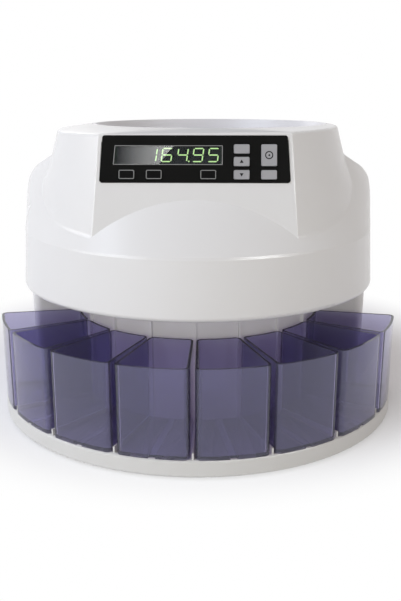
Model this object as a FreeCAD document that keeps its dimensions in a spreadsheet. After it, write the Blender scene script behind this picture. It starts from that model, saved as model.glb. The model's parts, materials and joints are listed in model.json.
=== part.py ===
import FreeCAD, Part
import Sketcher
import math
import os
import re
from FreeCAD import Placement, Rotation, Vector

# Millimetres and degrees. +Z is up, the front faces -Y, and the origin is the middle of the footprint.
SIZES = {
    # Whole machine
    "overall_height": 253.5,
    "base_radius": 180.0,
    "fit_gap": 0.02,
    "running_gap": 0.05,
    "sliding_gap": 0.25,
    "bite": 0.5,
    "overrun": 1.0,
    # Base
    "rim_bottom": 2.0,
    "base_top": 16.25,
    "base_skin": 3.0,
    "base_rim": 4.0,
    "base_edge_round": 1.8,
    "base_rib": 2.0,
    "base_rib_start": 20.0,
    "foot_radius": 10.0,
    "foot_height": 4.0,
    "foot_inset": 28.0,
    "foot_boss_radius": 11.0,
    # Coin cups and the guides they stand on
    "cup_pitch": 19.76,
    "cup_split": 1.15,
    "cup_inset": 0.4,
    "cup_clearance": 3.5,
    "cup_height": 71.8,
    "cup_wall": 2.2,
    "cup_floor": 2.6,
    "cup_corner": 5.0,
    "rail_width": 5.0,
    "rail_height": 1.0,
    "rail_start_inset": 4.0,
    "rail_end_inset": 3.1,
    "fin_start_inset": 5.0,
    "fin_end_inset": 1.5,
    "fin_width": 1.4,
    "fin_height": 5.0,
    # Column behind the cups and housing round the back
    "column_inset": 52.0,
    "column_wall": 2.5,
    "column_half_angle": 83.0,
    "column_rib_width": 2.0,
    "column_rib_depth": 3.0,
    "rear_inset": 4.5,
    "rear_wall": 2.5,
    "rear_edge_angle": 81.5,
    "rear_edge_round": 8.0,
    "rear_face_depth": 10.0,
    "rear_face_half_width": 43.0,
    "rear_face_bottom": 28.0,
    "rear_face_top": 80.0,
    "rear_face_wall": 3.5,
    "rear_face_edge": 3.0,
    "base_boss_radius": 5.0,
    "base_boss_height": 22.0,
    "base_boss_inset": 12.0,
    # Upper housing
    "drum_bottom": 115.5,
    "drum_radius": 157.5,
    "drum_bottom_round": 4.0,
    "ring_depth": 90.6,
    "ring_inset": 2.9,
    "shoulder_depth": 40.1,
    "shoulder_inset": 7.7,
    "shoulder_round": 18.8,
    "shoulder_top_depth": 18.5,
    "shoulder_top_inset": 38.2,
    "front_lean": 46.8,
    "front_step": 0.6,
    "crease_lean": 25.0,
    "crease_step": 1.1,
    "crease_drop": 3.0,
    "neck_inset": 36.5,
    "neck_offset": 2.8,
    "neck_draft": 15.5,
    "neck_root": 8.0,
    "neck_blend": 7.5,
    "neck_edge_round": 2.5,
    "facet_margin": 2.6,
    "facet_tilt": 16.4,
    "facet_edge_round": 1.5,
    "housing_wall": 3.0,
    "post_radius": 4.0,
    "post_height": 24.0,
    "post_inset": 11.0,
    "post_web": 2.4,
    # Display panel on the facet, measured down the facet from its top edge
    "panel_top": 5.4,
    "panel_bottom": 41.5,
    "panel_half_top": 70.6,
    "panel_half_bottom": 72.8,
    "panel_round": 2.0,
    "panel_thickness": 2.2,
    "panel_proud": 0.5,
    "window_left": -61.3,
    "window_right": 21.4,
    "window_top": 12.4,
    "window_bottom": 27.9,
    "window_thickness": 1.8,
    "window_sink": 0.2,
    "module_inset_side": 2.0,
    "module_inset": 0.6,
    "facet_opening_side": 3.4,
    "facet_opening_edge_top": 4.6,
    "facet_opening_edge_bottom": 1.3,
    # Keys
    "key_width": 11.8,
    "key_height": 6.9,
    "key_tall": 16.4,
    "key_round": 1.0,
    "key_proud": 1.2,
    "key_flange": 0.6,
    "key_flange_thickness": 1.2,
    "key_stem_radius": 1.6,
    "key_stem_length": 1.5,
    "key_travel": 0.6,
    "switch_gap": 0.2,
    "switch_size": 6.0,
    "switch_height": 2.6,
    "board_thickness": 1.6,
    "board_edge_top": 6.2,
    "board_edge_bottom": 1.5,
    "board_side": 5.4,
    # Hopper bowl
    "bowl_front_gap": 5.4,
    "bowl_offset_right": 10.0,
    "bowl_offset_back": 7.4,
    "bowl_lip_inset": 4.5,
    "bowl_lip_depth": 8.5,
    "bowl_waist_inset": 13.5,
    "bowl_waist_depth": 63.5,
    "bowl_mouth_inset": 22.5,
    "bowl_mouth_gap": 6.5,
    "bowl_wall": 2.2,
    "bowl_flange": 2.2,
    "bowl_flange_width": 0.8,
    # Sorting deck
    "deck_inset": 2.0,
    "deck_thickness": 3.0,
    "deck_gap": 1.1,
    "hub_radius": 17.0,
    "hub_height": 11.5,
    "coin_circle_gap": 20.5,
    "smallest_coin": 16.3,
    "coin_step": 1.35,
    "slot_gap": 0.6,
    "outlet_gap": 1.6,
    "ring_plate_height": 6.0,
    "ring_plate_thickness": 2.5,
    "ring_plate_inside": 28.5,
    "ring_plate_outside": 15.0,
    "ring_plate_foot": 3.0,
    "sensor_width": 9.0,
    "sensor_depth": 6.0,
    "sensor_height": 3.0,
    # Spindle
    "shaft_radius": 5.0,
    "shaft_below_plate": 8.0,
    "shaft_above_ring": 23.5,
    "collar_radius": 7.5,
    "collar_gap": 0.2,
    "bearing_radius": 11.0,
    "bearing_height": 9.0,
    "rotor_gap": 1.0,
    "rotor_thickness": 3.5,
    "rotor_lift": 0.5,
    "arm_count": 10,
    "arm_overlap": 34.5,
    "arm_tip_inset": 3.5,
    "arm_width": 6.0,
    "arm_height": 3.0,
    "agitator_inset": 22.0,
    "agitator_rim": 4.0,
    "agitator_crown": 15.0,
    "agitator_crown_radius": 14.0,
    "ridge_count": 3,
    "ridge_width": 7.0,
    "ridge_height": 14.0,
    "ridge_inset": 4.0,
    "nut_radius": 9.0,
    "nut_cover": 1.5,
    # Drive
    "gear_module": 1.5,
    "gear_teeth": 60,
    "pinion_teeth": 15,
    "gear_lift": 5.0,
    "gear_width": 8.0,
    "gear_backlash": 0.24,
    "gear_hole_inset": 18.0,
    "gear_hole_radius": 9.0,
    "plate_bottom": 76.0,
    "plate_thickness": 3.0,
    "plate_half_width": 48.0,
    "plate_front": 48.0,
    "plate_behind_motor": 27.75,
    "plate_hub_radius": 16.0,
    "standoff_radius": 4.5,
    "standoff_inset": 7.0,
    "motor_radius": 18.0,
    "motor_length": 46.0,
    "motor_boss_radius": 6.0,
    "motor_shaft_radius": 2.0,
    "motor_shaft_inset": 8.0,
    "motor_tail": 2.5,
    # Electrics
    "transformer_x": -76.0,
    "transformer_y": 86.0,
    "transformer_width": 44.0,
    "transformer_depth": 30.0,
    "transformer_height": 38.0,
    "coil_width": 24.0,
    "coil_depth": 42.0,
    "coil_height": 26.0,
    "power_board_x": 76.0,
    "power_board_y": 86.0,
    "power_board_width": 46.0,
    "power_board_depth": 38.0,
    "power_board_post": 6.0,
    "board_post_radius": 3.0,
    "board_post_inset": 4.0,
    "capacitor_radius": 6.0,
    "capacitor_height": 22.0,
    "capacitor_spacing": 17.0,
    "capacitor_offset": 7.0,
    "heat_sink_width": 24.0,
    "heat_sink_depth": 6.0,
    "heat_sink_height": 20.0,
    "heat_sink_offset": 10.0,
    "inlet_x": -24.0,
    "inlet_width": 27.0,
    "inlet_height": 20.0,
    "inlet_depth": 24.0,
    "pin_width": 2.0,
    "pin_height": 4.0,
    "pin_length": 15.0,
    "pin_spread": 7.0,
    "pin_drop": 2.0,
    "switch_x": 6.0,
    "switch_width": 13.0,
    "switch_tall": 19.0,
    "switch_depth": 15.0,
    "switch_back": 3.0,
    "rocker_width": 9.6,
    "rocker_tall": 14.0,
    "rocker_tilt": 7.0,
    "rocker_front": 5.0,
    "rocker_dip": 0.9,
    "pivot_radius": 1.5,
    "pivot_length": 1.2,
    "pivot_depth": 2.0,
    "port_x": 29.0,
    "port_width": 15.5,
    "port_height": 13.5,
    "port_depth": 17.0,
    "flange_edge": 2.0,
    "flange_thickness": 2.0,
    "connector_z": 54.0,
    "connector_wall": 1.5,
    "connector_back": 6.0,
    # Screws
    "screw_radius": 2.0,
    "screw_head_radius": 3.2,
    "screw_head_height": 2.4,
    "screw_length": 12.0,
}

# Places and radii that follow from the sizes above, so that neighbours stay fitted when one of them changes.
FOLLOWS = {
    "foot_circle": "base_radius - foot_inset",
    "cup_outer": "base_radius - cup_inset",
    "column_radius": "drum_radius - column_inset",
    "rear_radius": "drum_radius - rear_inset",
    "cup_inner": "column_radius + cup_clearance",
    "rail_start": "cup_inner + rail_start_inset",
    "rail_end": "cup_outer - rail_end_inset",
    "fin_start": "cup_inner + fin_start_inset",
    "fin_end": "cup_outer - fin_end_inset",
    "rear_face": "rear_radius - rear_face_depth",
    "base_boss_circle": "rear_radius - base_boss_inset",
    "ring_height": "overall_height - ring_depth",
    "ring_radius": "drum_radius - ring_inset",
    "shoulder_height": "overall_height - shoulder_depth",
    "shoulder_radius": "drum_radius - shoulder_inset",
    "shoulder_top": "overall_height - shoulder_top_depth",
    "shoulder_top_radius": "drum_radius - shoulder_top_inset",
    "neck_radius": "drum_radius - neck_inset",
    "facet_depth": "neck_offset + sqrt(neck_radius ^ 2 - (panel_half_top + facet_margin) ^ 2)",
    "post_circle": "drum_radius - post_inset",
    "facet_opening_half": "panel_half_top - facet_opening_side",
    "facet_opening_top": "panel_top + facet_opening_edge_top",
    "facet_opening_bottom": "panel_bottom - facet_opening_edge_bottom",
    "board_top": "panel_top + board_edge_top",
    "board_bottom": "panel_bottom - board_edge_bottom",
    "board_half_width": "panel_half_top - board_side",
    "bowl_radius": "facet_depth + bowl_offset_back - bowl_front_gap",
    "bowl_lip_radius": "bowl_radius - bowl_lip_inset",
    "bowl_lip_height": "overall_height - bowl_lip_depth",
    "bowl_waist_radius": "bowl_radius - bowl_waist_inset",
    "bowl_waist_height": "overall_height - bowl_waist_depth",
    "bowl_mouth_radius": "bowl_radius - bowl_mouth_inset",
    "bowl_mouth_height": "ring_plate_top + bowl_mouth_gap",
    "deck_bottom": "drum_bottom + deck_inset",
    "hub_bottom": "deck_bottom - hub_height",
    "coin_circle": "column_radius + coin_circle_gap",
    "ring_plate_top": "deck_bottom + deck_thickness + ring_plate_height",
    "ring_plate_inner": "coin_circle - ring_plate_inside",
    "ring_plate_outer": "coin_circle + ring_plate_outside",
    "shaft_bottom": "plate_bottom - shaft_below_plate",
    "shaft_top": "ring_plate_top + shaft_above_ring",
    "shaft_distance": "gear_module * (gear_teeth + pinion_teeth) / 2",
    "rotor_radius": "ring_plate_inner - rotor_gap",
    "arm_start": "rotor_radius - arm_overlap",
    "arm_tip": "ring_plate_outer - arm_tip_inset",
    "agitator_radius": "bowl_mouth_radius - agitator_inset",
    "gear_bottom": "plate_bottom + plate_thickness + gear_lift",
    "gear_hole_circle": "gear_module * gear_teeth / 2 - gear_hole_inset",
    "plate_back": "shaft_distance + plate_behind_motor",
}

CUPS = 8
RIBS = 6
FRONT = -90.0

doc = FreeCAD.newDocument("coin_sorter")
sheet = doc.addObject("Spreadsheet::Sheet", "Dims")
for row, (alias, size) in enumerate(SIZES.items(), 1):
    sheet.set(f"A{row}", alias)
    sheet.set(f"B{row}", str(size))
    sheet.setAlias(f"B{row}", alias)
doc.recompute()

nodes = []


# Sizes: an expression in sheet words becomes one that an object can be bound to.
def bound(text):
    def cell(found):
        word = found.group()
        if word in FOLLOWS:
            return f"({bound(FOLLOWS[word])})"
        return f"Dims.{word}" if word in SIZES else word
    return re.sub(r"[a-z_]+", cell, str(text))


def size(text):
    found = sheet.evalExpression(bound(text))
    return float(getattr(found, "Value", found))


def node(item, label):
    item.Label = label
    nodes.append(item)
    return item


# Placements
def turned(degrees, axis=(0, 0, 1)):
    return Rotation(Vector(*axis), degrees)


def at_azimuth(azimuth):
    return Placement(Vector(), turned(FRONT + azimuth))


def cup_azimuth(index):
    return (index - (CUPS - 1) / 2) * size("cup_pitch")


def gap_azimuths():
    return [cup_azimuth(index) - size("cup_pitch") / 2 for index in range(CUPS + 1)]


def facet_frame():
    origin = Vector(0, -size("facet_depth"), size("overall_height"))
    return Placement(origin, turned(90 - size("facet_tilt"), (1, 0, 0)))


# Primitives and booleans
def primitive(kind, at=(0, 0, 0), frame=None, turn=None, **sizes):
    item = doc.addObject("Part::" + kind, kind.lower())
    for name, text in sizes.items():
        item.setExpression(name, bound(text))
    place = Placement(Vector(*[size(text) for text in at]), turn or Rotation())
    item.Placement = frame.multiply(place) if frame else place
    return item


def cylinder(radius, height, at=(0, 0, 0), frame=None, turn=None):
    return primitive("Cylinder", at, frame, turn, Radius=radius, Height=height)


def cone(bottom_radius, top_radius, height, at=(0, 0, 0)):
    return primitive("Cone", at, Radius1=bottom_radius, Radius2=top_radius, Height=height)


def box(width, depth, height, at, frame=None):
    x, y, z = at
    corner = (f"({x}) - ({width}) / 2", f"({y}) - ({depth}) / 2", z)
    return primitive("Box", corner, frame, Length=width, Width=depth, Height=height)


def combined(kind, shapes):
    if len(shapes) == 1:
        return shapes[0]
    item = doc.addObject("Part::" + kind, kind.lower())
    item.Shapes = list(shapes)
    item.Refine = True
    return item


def fused(*shapes):
    return combined("MultiFuse", shapes)


def cut(base, *tools):
    item = doc.addObject("Part::Cut", "cut")
    item.Base = base
    item.Tool = fused(*tools)
    item.Refine = True
    return item


def grouped(*shapes):
    item = doc.addObject("Part::Compound", "group")
    item.Links = list(shapes)
    return item


def rounded(base, *rules):
    doc.recompute()
    item = doc.addObject("Part::Fillet", "rounded")
    item.Base = base
    edges = []
    for radius, chosen in rules:
        value = size(radius)
        edges += [(number, value, value) for number, edge in enumerate(base.Shape.Edges, 1) if chosen(edge)]
    item.Edges = edges
    doc.recompute()
    return item


def along(direction):
    def straight(edge):
        if edge.Curve.TypeId != "Part::GeomLine":
            return False
        return edge.Curve.Direction.cross(direction).Length < 0.01
    return straight


def level(*heights):
    def flat(edge):
        limits = edge.BoundBox
        return limits.ZLength < 0.01 and any(abs(limits.ZMin - size(height)) < 0.01 for height in heights)
    return flat


# Bodies with sketches
def new_body(name):
    return doc.addObject("PartDesign::Body", name)


def new_sketch(body, role, offset=None):
    sketch = body.newObject("Sketcher::SketchObject", "sketch")
    plane = next(item for item in body.Origin.OriginFeatures if item.Role == role)
    sketch.AttachmentSupport = (plane, [""])
    sketch.MapMode = "FlatFace"
    if offset:
        sketch.setExpression("AttachmentOffset.Base.z", bound(offset))
    return sketch


def hold(sketch, kind, geometry, point, text):
    number = sketch.addConstraint(Sketcher.Constraint(kind, -1, 1, geometry, point, size(text)))
    sketch.setExpression(f"Constraints[{number}]", bound(text))


# A closed outline of straight sides whose corners are bound to the sheet.
def outline(body, role, corners, offset=None):
    sketch = new_sketch(body, role, offset)
    points = [Vector(size(x), size(y), 0) for x, y in corners]
    count = len(points)
    for index in range(count):
        sketch.addGeometry(Part.LineSegment(points[index], points[(index + 1) % count]))
    for index in range(count):
        sketch.addConstraint(Sketcher.Constraint("Coincident", index, 2, (index + 1) % count, 1))
    for index, (x, y) in enumerate(corners):
        hold(sketch, "DistanceX", index, 1, x)
        hold(sketch, "DistanceY", index, 1, y)
    return sketch


def rectangle(body, role, low, high, offset=None):
    corners = [(low[0], low[1]), (high[0], low[1]), (high[0], high[1]), (low[0], high[1])]
    return outline(body, role, corners, offset)


# A slice of a ring, mirrored about the sketch's X axis, with sides that point at the origin.
def sector(body, outer, inner, half_angle, offset=None):
    sketch = new_sketch(body, "XY_Plane", offset)
    half = math.radians(size(half_angle))
    arcs = [Part.Circle(Vector(), Vector(0, 0, 1), size(radius)) for radius in (outer, inner)]
    for arc in arcs:
        sketch.addGeometry(Part.ArcOfCircle(arc, -half, half))
    for sign in (1, -1):
        ray = Vector(math.cos(half), sign * math.sin(half), 0)
        sketch.addGeometry(Part.LineSegment(ray * size(inner), ray * size(outer)))
    for number, radius in enumerate((outer, inner)):
        sketch.addConstraint(Sketcher.Constraint("Coincident", number, 3, -1, 1))
        held = sketch.addConstraint(Sketcher.Constraint("Radius", number, size(radius)))
        sketch.setExpression(f"Constraints[{held}]", bound(radius))
    for line, sign, end in ((2, 1, 2), (3, -1, 1)):
        sketch.addConstraint(Sketcher.Constraint("Coincident", line, 2, 0, end))
        sketch.addConstraint(Sketcher.Constraint("Coincident", line, 1, 1, end))
        held = sketch.addConstraint(Sketcher.Constraint("Angle", line, sign * half))
        sketch.setExpression(f"Constraints[{held}]", f"{sign} * ({bound(half_angle)}) * 1 deg")
    return sketch


def feature(body, kind, sketch, **sizes):
    item = body.newObject("PartDesign::" + kind, kind.lower())
    item.Profile = sketch
    for name, text in sizes.items():
        item.setExpression(name, bound(text))
    return item


def pad(body, sketch, length, midplane=False):
    item = feature(body, "Pad", sketch, Length=length)
    item.Midplane = midplane
    return item


def pocket(body, sketch, length):
    doc.recompute()
    before = body.Shape.Volume
    item = feature(body, "Pocket", sketch, Length=length)
    item.Reversed = True
    doc.recompute()
    if not body.Shape.Volume < before - 0.001:
        raise RuntimeError("a pocket removed nothing")
    return item


def revolved(body, sketch):
    item = body.newObject("PartDesign::Revolution", "revolution")
    item.Profile = sketch
    item.ReferenceAxis = (sketch, ["V_Axis"])
    item.Angle = 360
    return item


def fillet(body, radius, chosen):
    doc.recompute()
    base = body.Tip
    names = [f"Edge{number}" for number, edge in enumerate(base.Shape.Edges, 1) if chosen(edge)]
    item = body.newObject("PartDesign::Fillet", "fillet")
    item.Base = (base, names)
    item.setExpression("Radius", bound(radius))
    return item


def around(body, features, count, angle):
    item = body.newObject("PartDesign::PolarPattern", "pattern")
    item.Originals = features
    axis = next(entry for entry in body.Origin.OriginFeatures if entry.Role == "Z_Axis")
    item.Axis = (axis, [""])
    item.setExpression("Angle", bound(angle))
    item.Occurrences = count
    body.Tip = item
    return item


def ring_of(make, angles):
    return [make(Placement(Vector(), turned(angle))) for angle in angles]


# Base: a hollow disc on feet, with a guide rail for each cup and a fin between neighbours.
def make_base():
    disc = new_body("base_disc")
    inner = "base_radius - base_rim"
    under = "base_top - base_skin"
    corners = [
        ("0", under),
        (inner, under),
        (inner, "rim_bottom"),
        ("base_radius", "rim_bottom"),
        ("base_radius", "base_top"),
        ("0", "base_top"),
    ]
    revolved(disc, outline(disc, "XZ_Plane", corners))
    fillet(disc, "base_edge_round", lambda edge: edge.BoundBox.XMax > size("base_radius") - 0.01
           and level("base_top", "rim_bottom")(edge))
    rib_low = ("base_rim / 2 - base_radius", "foot_height")
    rib_high = ("0 - base_rib_start", f"{under} + bite")
    rib = pad(disc, rectangle(disc, "YZ_Plane", rib_low, rib_high), "base_rib", True)
    around(disc, [rib], RIBS, "360")
    rail_low = ("0 - rail_end", "base_top - bite")
    rail_high = ("0 - rail_start", "base_top + rail_height")
    rail = pad(disc, rectangle(disc, "YZ_Plane", rail_low, rail_high), "rail_width", True)
    around(disc, [rail], CUPS, f"cup_pitch * {CUPS - 1}")
    disc.Placement = Placement(Vector(), turned(cup_azimuth(0)))

    fins = [box("fin_end - fin_start", "fin_width", "fin_height + bite",
                ("(fin_start + fin_end) / 2", 0, "base_top - bite"), at_azimuth(azimuth))
            for azimuth in gap_azimuths()]
    bosses = ring_of(
        lambda frame: cylinder("foot_boss_radius", f"{under} + bite - foot_height",
                               ("foot_circle", 0, "foot_height"), frame),
        foot_angles())
    posts = [cylinder("board_post_radius", "power_board_post + bite", (x, y, "base_top - bite"))
             for x, y in power_board_corners()]
    whole = fused(disc, *fins, *bosses, *posts)
    holes = [cylinder("screw_radius + fit_gap", "base_skin + 2 * overrun", (x, y, f"{under} - overrun"))
             for x, y in base_screw_spots()]
    node(cut(whole, *holes), "base_plate")


def foot_angles():
    return (45, 135, 225, 315)


def rear_boss_angles():
    return (28, 65, 115, 152)


def column_boss_angles():
    return (-130, -50)


def base_screw_spots():
    spots = [("base_boss_circle", angle) for angle in rear_boss_angles()]
    spots += [("column_radius - column_wall - base_boss_radius + 2 * bite", angle)
              for angle in column_boss_angles()]
    return [(f"({radius}) * cos({angle})", f"({radius}) * sin({angle})") for radius, angle in spots]


def make_feet():
    feet = ring_of(lambda frame: cylinder("foot_radius", "foot_height", ("foot_circle", 0, 0), frame),
                   foot_angles())
    node(grouped(*feet), "base_feet")


# Eight open cups, each a wedge with rounded corners and a groove that runs on its rail.
def make_cup(index):
    cup = new_body(f"cup_{index + 1}")
    half = "(cup_pitch - cup_split) / 2"
    upright = along(Vector(0, 0, 1))
    pad(cup, sector(cup, "cup_outer", "cup_inner", half), "cup_height")
    fillet(cup, "cup_corner", upright)
    doc.recompute()
    wall_angle = "2 * cup_wall / (cup_outer + cup_inner) * 180 / pi"
    inside = sector(cup, "cup_outer - cup_wall", "cup_inner + cup_wall", f"{half} - {wall_angle}",
                    "cup_floor")
    pocket(cup, inside, "cup_height")
    fillet(cup, "cup_corner - cup_wall", lambda edge: upright(edge) and is_inner_corner(edge))
    side = "rail_width / 2 + sliding_gap"
    groove = rectangle(cup, "XY_Plane", ("cup_inner - overrun", f"0 - ({side})"),
                       ("cup_outer + overrun", side))
    pocket(cup, groove, "rail_height + sliding_gap")
    place = at_azimuth(cup_azimuth(index))
    place.Base = Vector(0, 0, size("base_top"))
    cup.Placement = place
    node(cup, f"coin_cup_{index + 1}")


def is_inner_corner(edge):
    radius = math.hypot(edge.BoundBox.XMin, edge.BoundBox.YMin)
    inside = size("cup_inner + cup_wall") - 0.1 < radius < size("cup_outer - cup_wall") + 0.1
    return inside and edge.BoundBox.ZMin > size("cup_floor") - 0.01


# Column: a curved wall behind the cups, with a rib at every gap between them.
def make_column():
    wall = new_body("column_wall")
    height = "deck_bottom - base_top"
    inner = "column_radius - column_wall"
    pad(wall, sector(wall, "column_radius", inner, "column_half_angle", "base_top"), height)
    wall.Placement = at_azimuth(0)
    depth = "(column_rib_depth + column_wall / 2)"
    middle = f"column_radius + column_rib_depth - {depth} / 2"
    ribs = [box(depth, "column_rib_width", height, (middle, 0, "base_top"), at_azimuth(azimuth))
            for azimuth in gap_azimuths()]
    spots = base_screw_spots()[len(rear_boss_angles()):]
    whole = fused(wall, *ribs, *[base_boss(spot) for spot in spots])
    node(cut(whole, *[screw_bore(spot, "base_top") for spot in spots]), "front_column")


def base_boss(spot):
    return cylinder("base_boss_radius", "base_boss_height", (*spot, "base_top"))


def screw_bore(spot, seat, frame=None):
    low = f"{seat} - overrun"
    return cylinder("screw_radius + fit_gap", "screw_length + 2 * overrun", (*spot, low), frame)


# Rear housing: a wall round the back with radial ends, and a flat field for the connectors.
def make_rear_housing():
    shell = new_body("rear_shell")
    half = "180 - rear_edge_angle"
    height = "deck_bottom - base_top"
    inner = "column_radius + sliding_gap"
    pad(shell, sector(shell, "rear_radius", inner, half, "base_top"), height)
    fillet(shell, "rear_edge_round", lambda edge: along(Vector(0, 0, 1))(edge)
           and math.hypot(edge.BoundBox.XMin, edge.BoundBox.YMin) > size("rear_radius") - 0.1
           and abs(edge.BoundBox.YMin) > 1)
    wall_angle = "rear_wall / column_radius * 180 / pi"
    inside = sector(shell, "rear_radius - rear_wall", "column_radius - rear_wall", f"{half} - {wall_angle}",
                    "base_top - overrun")
    pocket(shell, inside, f"{height} + 2 * overrun")
    shell.Placement = Placement(Vector(), turned(90))
    field_height = "rear_face_top - rear_face_bottom"
    block_half = "(rear_face_half_width + rear_face_edge)"
    block_outer = f"sqrt((rear_radius - sliding_gap)^2 - {block_half}^2)"
    block_depth = f"({block_outer} - rear_face + rear_face_wall)"
    block = box(f"2 * {block_half}", block_depth, f"{field_height} + 2 * rear_face_edge",
                (0, f"rear_face - rear_face_wall + {block_depth} / 2", "rear_face_bottom - rear_face_edge"))
    field_depth = "(rear_radius - rear_face)"
    field = box("2 * rear_face_half_width", field_depth, field_height,
                (0, f"rear_face + {field_depth} / 2", "rear_face_bottom"))
    spots = base_screw_spots()[:len(rear_boss_angles())]
    bosses = [base_boss(spot) for spot in spots]
    webs = [rear_web(angle) for angle in rear_boss_angles()]
    holes = [connector_hole("inlet_x", "inlet_width", "inlet_height"),
             connector_hole("switch_x", "switch_width", "switch_tall"),
             connector_hole("port_x", "port_width", "port_height")]
    bores = [screw_bore(spot, "base_top") for spot in spots]
    node(cut(fused(shell, block, *bosses, *webs), field, *holes, *bores), "rear_housing")


def rear_web(angle):
    reach = "rear_radius - rear_wall / 2 - base_boss_circle"
    frame = Placement(Vector(), turned(angle))
    middle = f"base_boss_circle + ({reach}) / 2"
    return box(reach, "rear_wall", "base_boss_height", (middle, 0, "base_top"), frame)


def connector_hole(x, width, height):
    depth = "2 * rear_face_wall + 2 * overrun"
    return box(f"{width} + 2 * sliding_gap", depth, f"{height} + 2 * sliding_gap",
               (x, "rear_face", f"connector_z - {height} / 2 - sliding_gap"))


# Upper housing: a drum whose front leans back above its ring, with a drafted neck that carries a flat facet.
def housing_form(inset):
    rise = "overall_height - ring_height"
    drum = new_body("drum")
    top = f"shoulder_top - {inset}"
    corners = [
        ("0", f"drum_bottom - {inset}"),
        (f"drum_radius - {inset}", f"drum_bottom - {inset}"),
        (f"ring_radius - {inset}", "ring_height"),
        (f"shoulder_radius - {inset}", f"shoulder_height - {inset} / 3"),
        (f"shoulder_top_radius - {inset}", top),
        ("0", top),
    ]
    revolved(drum, outline(drum, "YZ_Plane", corners))
    front = leaning_cut(inset, "front_lean", "front_step", "ring_height")
    crease = leaning_cut(inset, "crease_lean", "crease_step", "ring_height - crease_drop")
    body = cut(drum, front, crease)
    bottom_radius = f"neck_radius + tan(neck_draft) * ({rise} + neck_root) - {inset} / cos(neck_draft)"
    top_radius = f"neck_radius + tan(neck_draft) * {inset} - {inset} / cos(neck_draft)"
    neck = cone(bottom_radius, top_radius, f"{rise} + neck_root - {inset}",
                (0, "0 - neck_offset", "ring_height - neck_root"))
    neck.Placement.Rotation = turned(90)
    facet = box("3 * drum_radius", "3 * drum_radius", "drum_radius", (0, 0, f"0 - {inset}"), facet_frame())
    return fused(body, cut(neck, facet))


# What stands in front of a round column that leans back from a given height
def leaning_cut(inset, lean, step, start):
    rise = f"overall_height - ({start})"
    foot = doc.addObject("Part::Circle", "lean_circle")
    foot.setExpression("Radius", bound(f"ring_radius + {step} - {inset}"))
    foot.Placement = Placement(Vector(0, size(f"{inset} / 2"), size(start)), Rotation())
    column = doc.addObject("Part::Extrusion", "lean")
    column.Base = foot
    column.DirMode = "Custom"
    column.Dir = Vector(0, size(f"tan({lean})"), 1)
    column.setExpression("LengthFwd", bound(f"({rise}) / cos({lean})"))
    column.Solid = True
    front = box("3 * drum_radius", "3 * drum_radius", rise, (0, "0 - drum_radius / 2", start))
    return cut(front, column)


def make_upper_housing():
    outside = housing_form("0")
    outside = rounded(outside, ("neck_blend", is_neck_foot), ("facet_edge_round", is_facet_side))
    outside = rounded(outside, ("neck_edge_round", level("overall_height")))
    outside = rounded(outside, ("shoulder_round", level("shoulder_height")))
    outside = rounded(outside, ("drum_bottom_round", level("drum_bottom")))
    shell = cut(outside, housing_form("housing_wall"))
    posts = ring_of(make_post, post_angles())
    webs = ring_of(make_post_web, post_angles())
    opening = cylinder("bowl_radius + bowl_wall + sliding_gap", "housing_wall + 2 * overrun",
                       ("bowl_offset_right", "bowl_offset_back", "overall_height - housing_wall - overrun"))
    seat = panel_blank("panel_thickness - panel_proud", "drum_radius", "sliding_gap")
    window = facet_box("0 - facet_opening_half", "facet_opening_half", "facet_opening_top",
                       "facet_opening_bottom", "0 - housing_wall - overrun", "overrun")
    bores = ring_of(lambda frame: screw_bore(("post_circle", 0), "deck_bottom", frame), post_angles())
    node(cut(fused(shell, *posts, *webs), opening, seat, window, *bores), "upper_housing")


def is_neck_foot(edge):
    return edge.BoundBox.ZMax < size("shoulder_top") and all(is_on_neck(spot) for spot in edge.discretize(5))


def is_on_neck(spot):
    radius = size("neck_radius") + size("tan(neck_draft)") * (size("overall_height") - spot.z)
    return abs(math.hypot(spot.x, spot.y + size("neck_offset")) - radius) < 0.02


def is_facet_side(edge):
    limits = edge.BoundBox
    tall = limits.ZLength > size("panel_bottom")
    return tall and limits.ZMax > size("overall_height") - 0.1 and abs(limits.XMin) > 5


def post_angles():
    return range(30, 360, 60)


def make_post(frame):
    return cylinder("post_radius", "post_height", ("post_circle", 0, "deck_bottom + deck_thickness"), frame)


def make_post_web(frame):
    reach = "drum_radius - housing_wall + 2 * bite - post_circle"
    middle = f"post_circle + ({reach}) / 2"
    return box(reach, "post_web", "post_height", (middle, 0, "deck_bottom + deck_thickness"), frame)


# Pieces on the facet: distances go right from its middle and down from its top edge.
def facet_box(left, right, top, bottom, low, high):
    at = (f"(({left}) + ({right})) / 2", f"0 - (({top}) + ({bottom})) / 2", low)
    return box(f"({right}) - ({left})", f"({bottom}) - ({top})", f"({high}) - ({low})", at, facet_frame())


def panel_blank(depth, height, gap):
    blank = new_body("panel_blank")
    corners = [
        (f"0 - panel_half_bottom - {gap}", f"0 - panel_bottom - {gap}"),
        (f"panel_half_bottom + {gap}", f"0 - panel_bottom - {gap}"),
        (f"panel_half_top + {gap}", f"{gap} - panel_top"),
        (f"0 - panel_half_top - {gap}", f"{gap} - panel_top"),
    ]
    pad(blank, outline(blank, "XY_Plane", corners, f"0 - ({depth})"), height)
    fillet(blank, f"panel_round + {gap}", along(Vector(0, 0, 1)))
    blank.Placement = facet_frame()
    return blank


KEYS = {
    "key_print": (-51.9, 32.1, "key_height"),
    "key_report": (-31.1, 32.1, "key_height"),
    "key_set": (10.3, 32.1, "key_height"),
    "key_mode": (35.6, 12.5, "key_height"),
    "key_up": (35.6, 22.1, "key_height"),
    "key_down": (35.6, 32.1, "key_height"),
    "key_start": (56.4, 12.5, "key_tall"),
    "key_clear": (56.4, 32.1, "key_height"),
}


def key_box(name, edge, low, high):
    middle, top, height = KEYS[name]
    half = f"(key_width / 2 + {edge})"
    return facet_box(f"{middle} - {half}", f"{middle} + {half}", f"{top} - {edge}",
                     f"{top} + {height} + {edge}", low, high)


def facet_normal():
    return facet_frame().Rotation.multVec(Vector(0, 0, 1))


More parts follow.
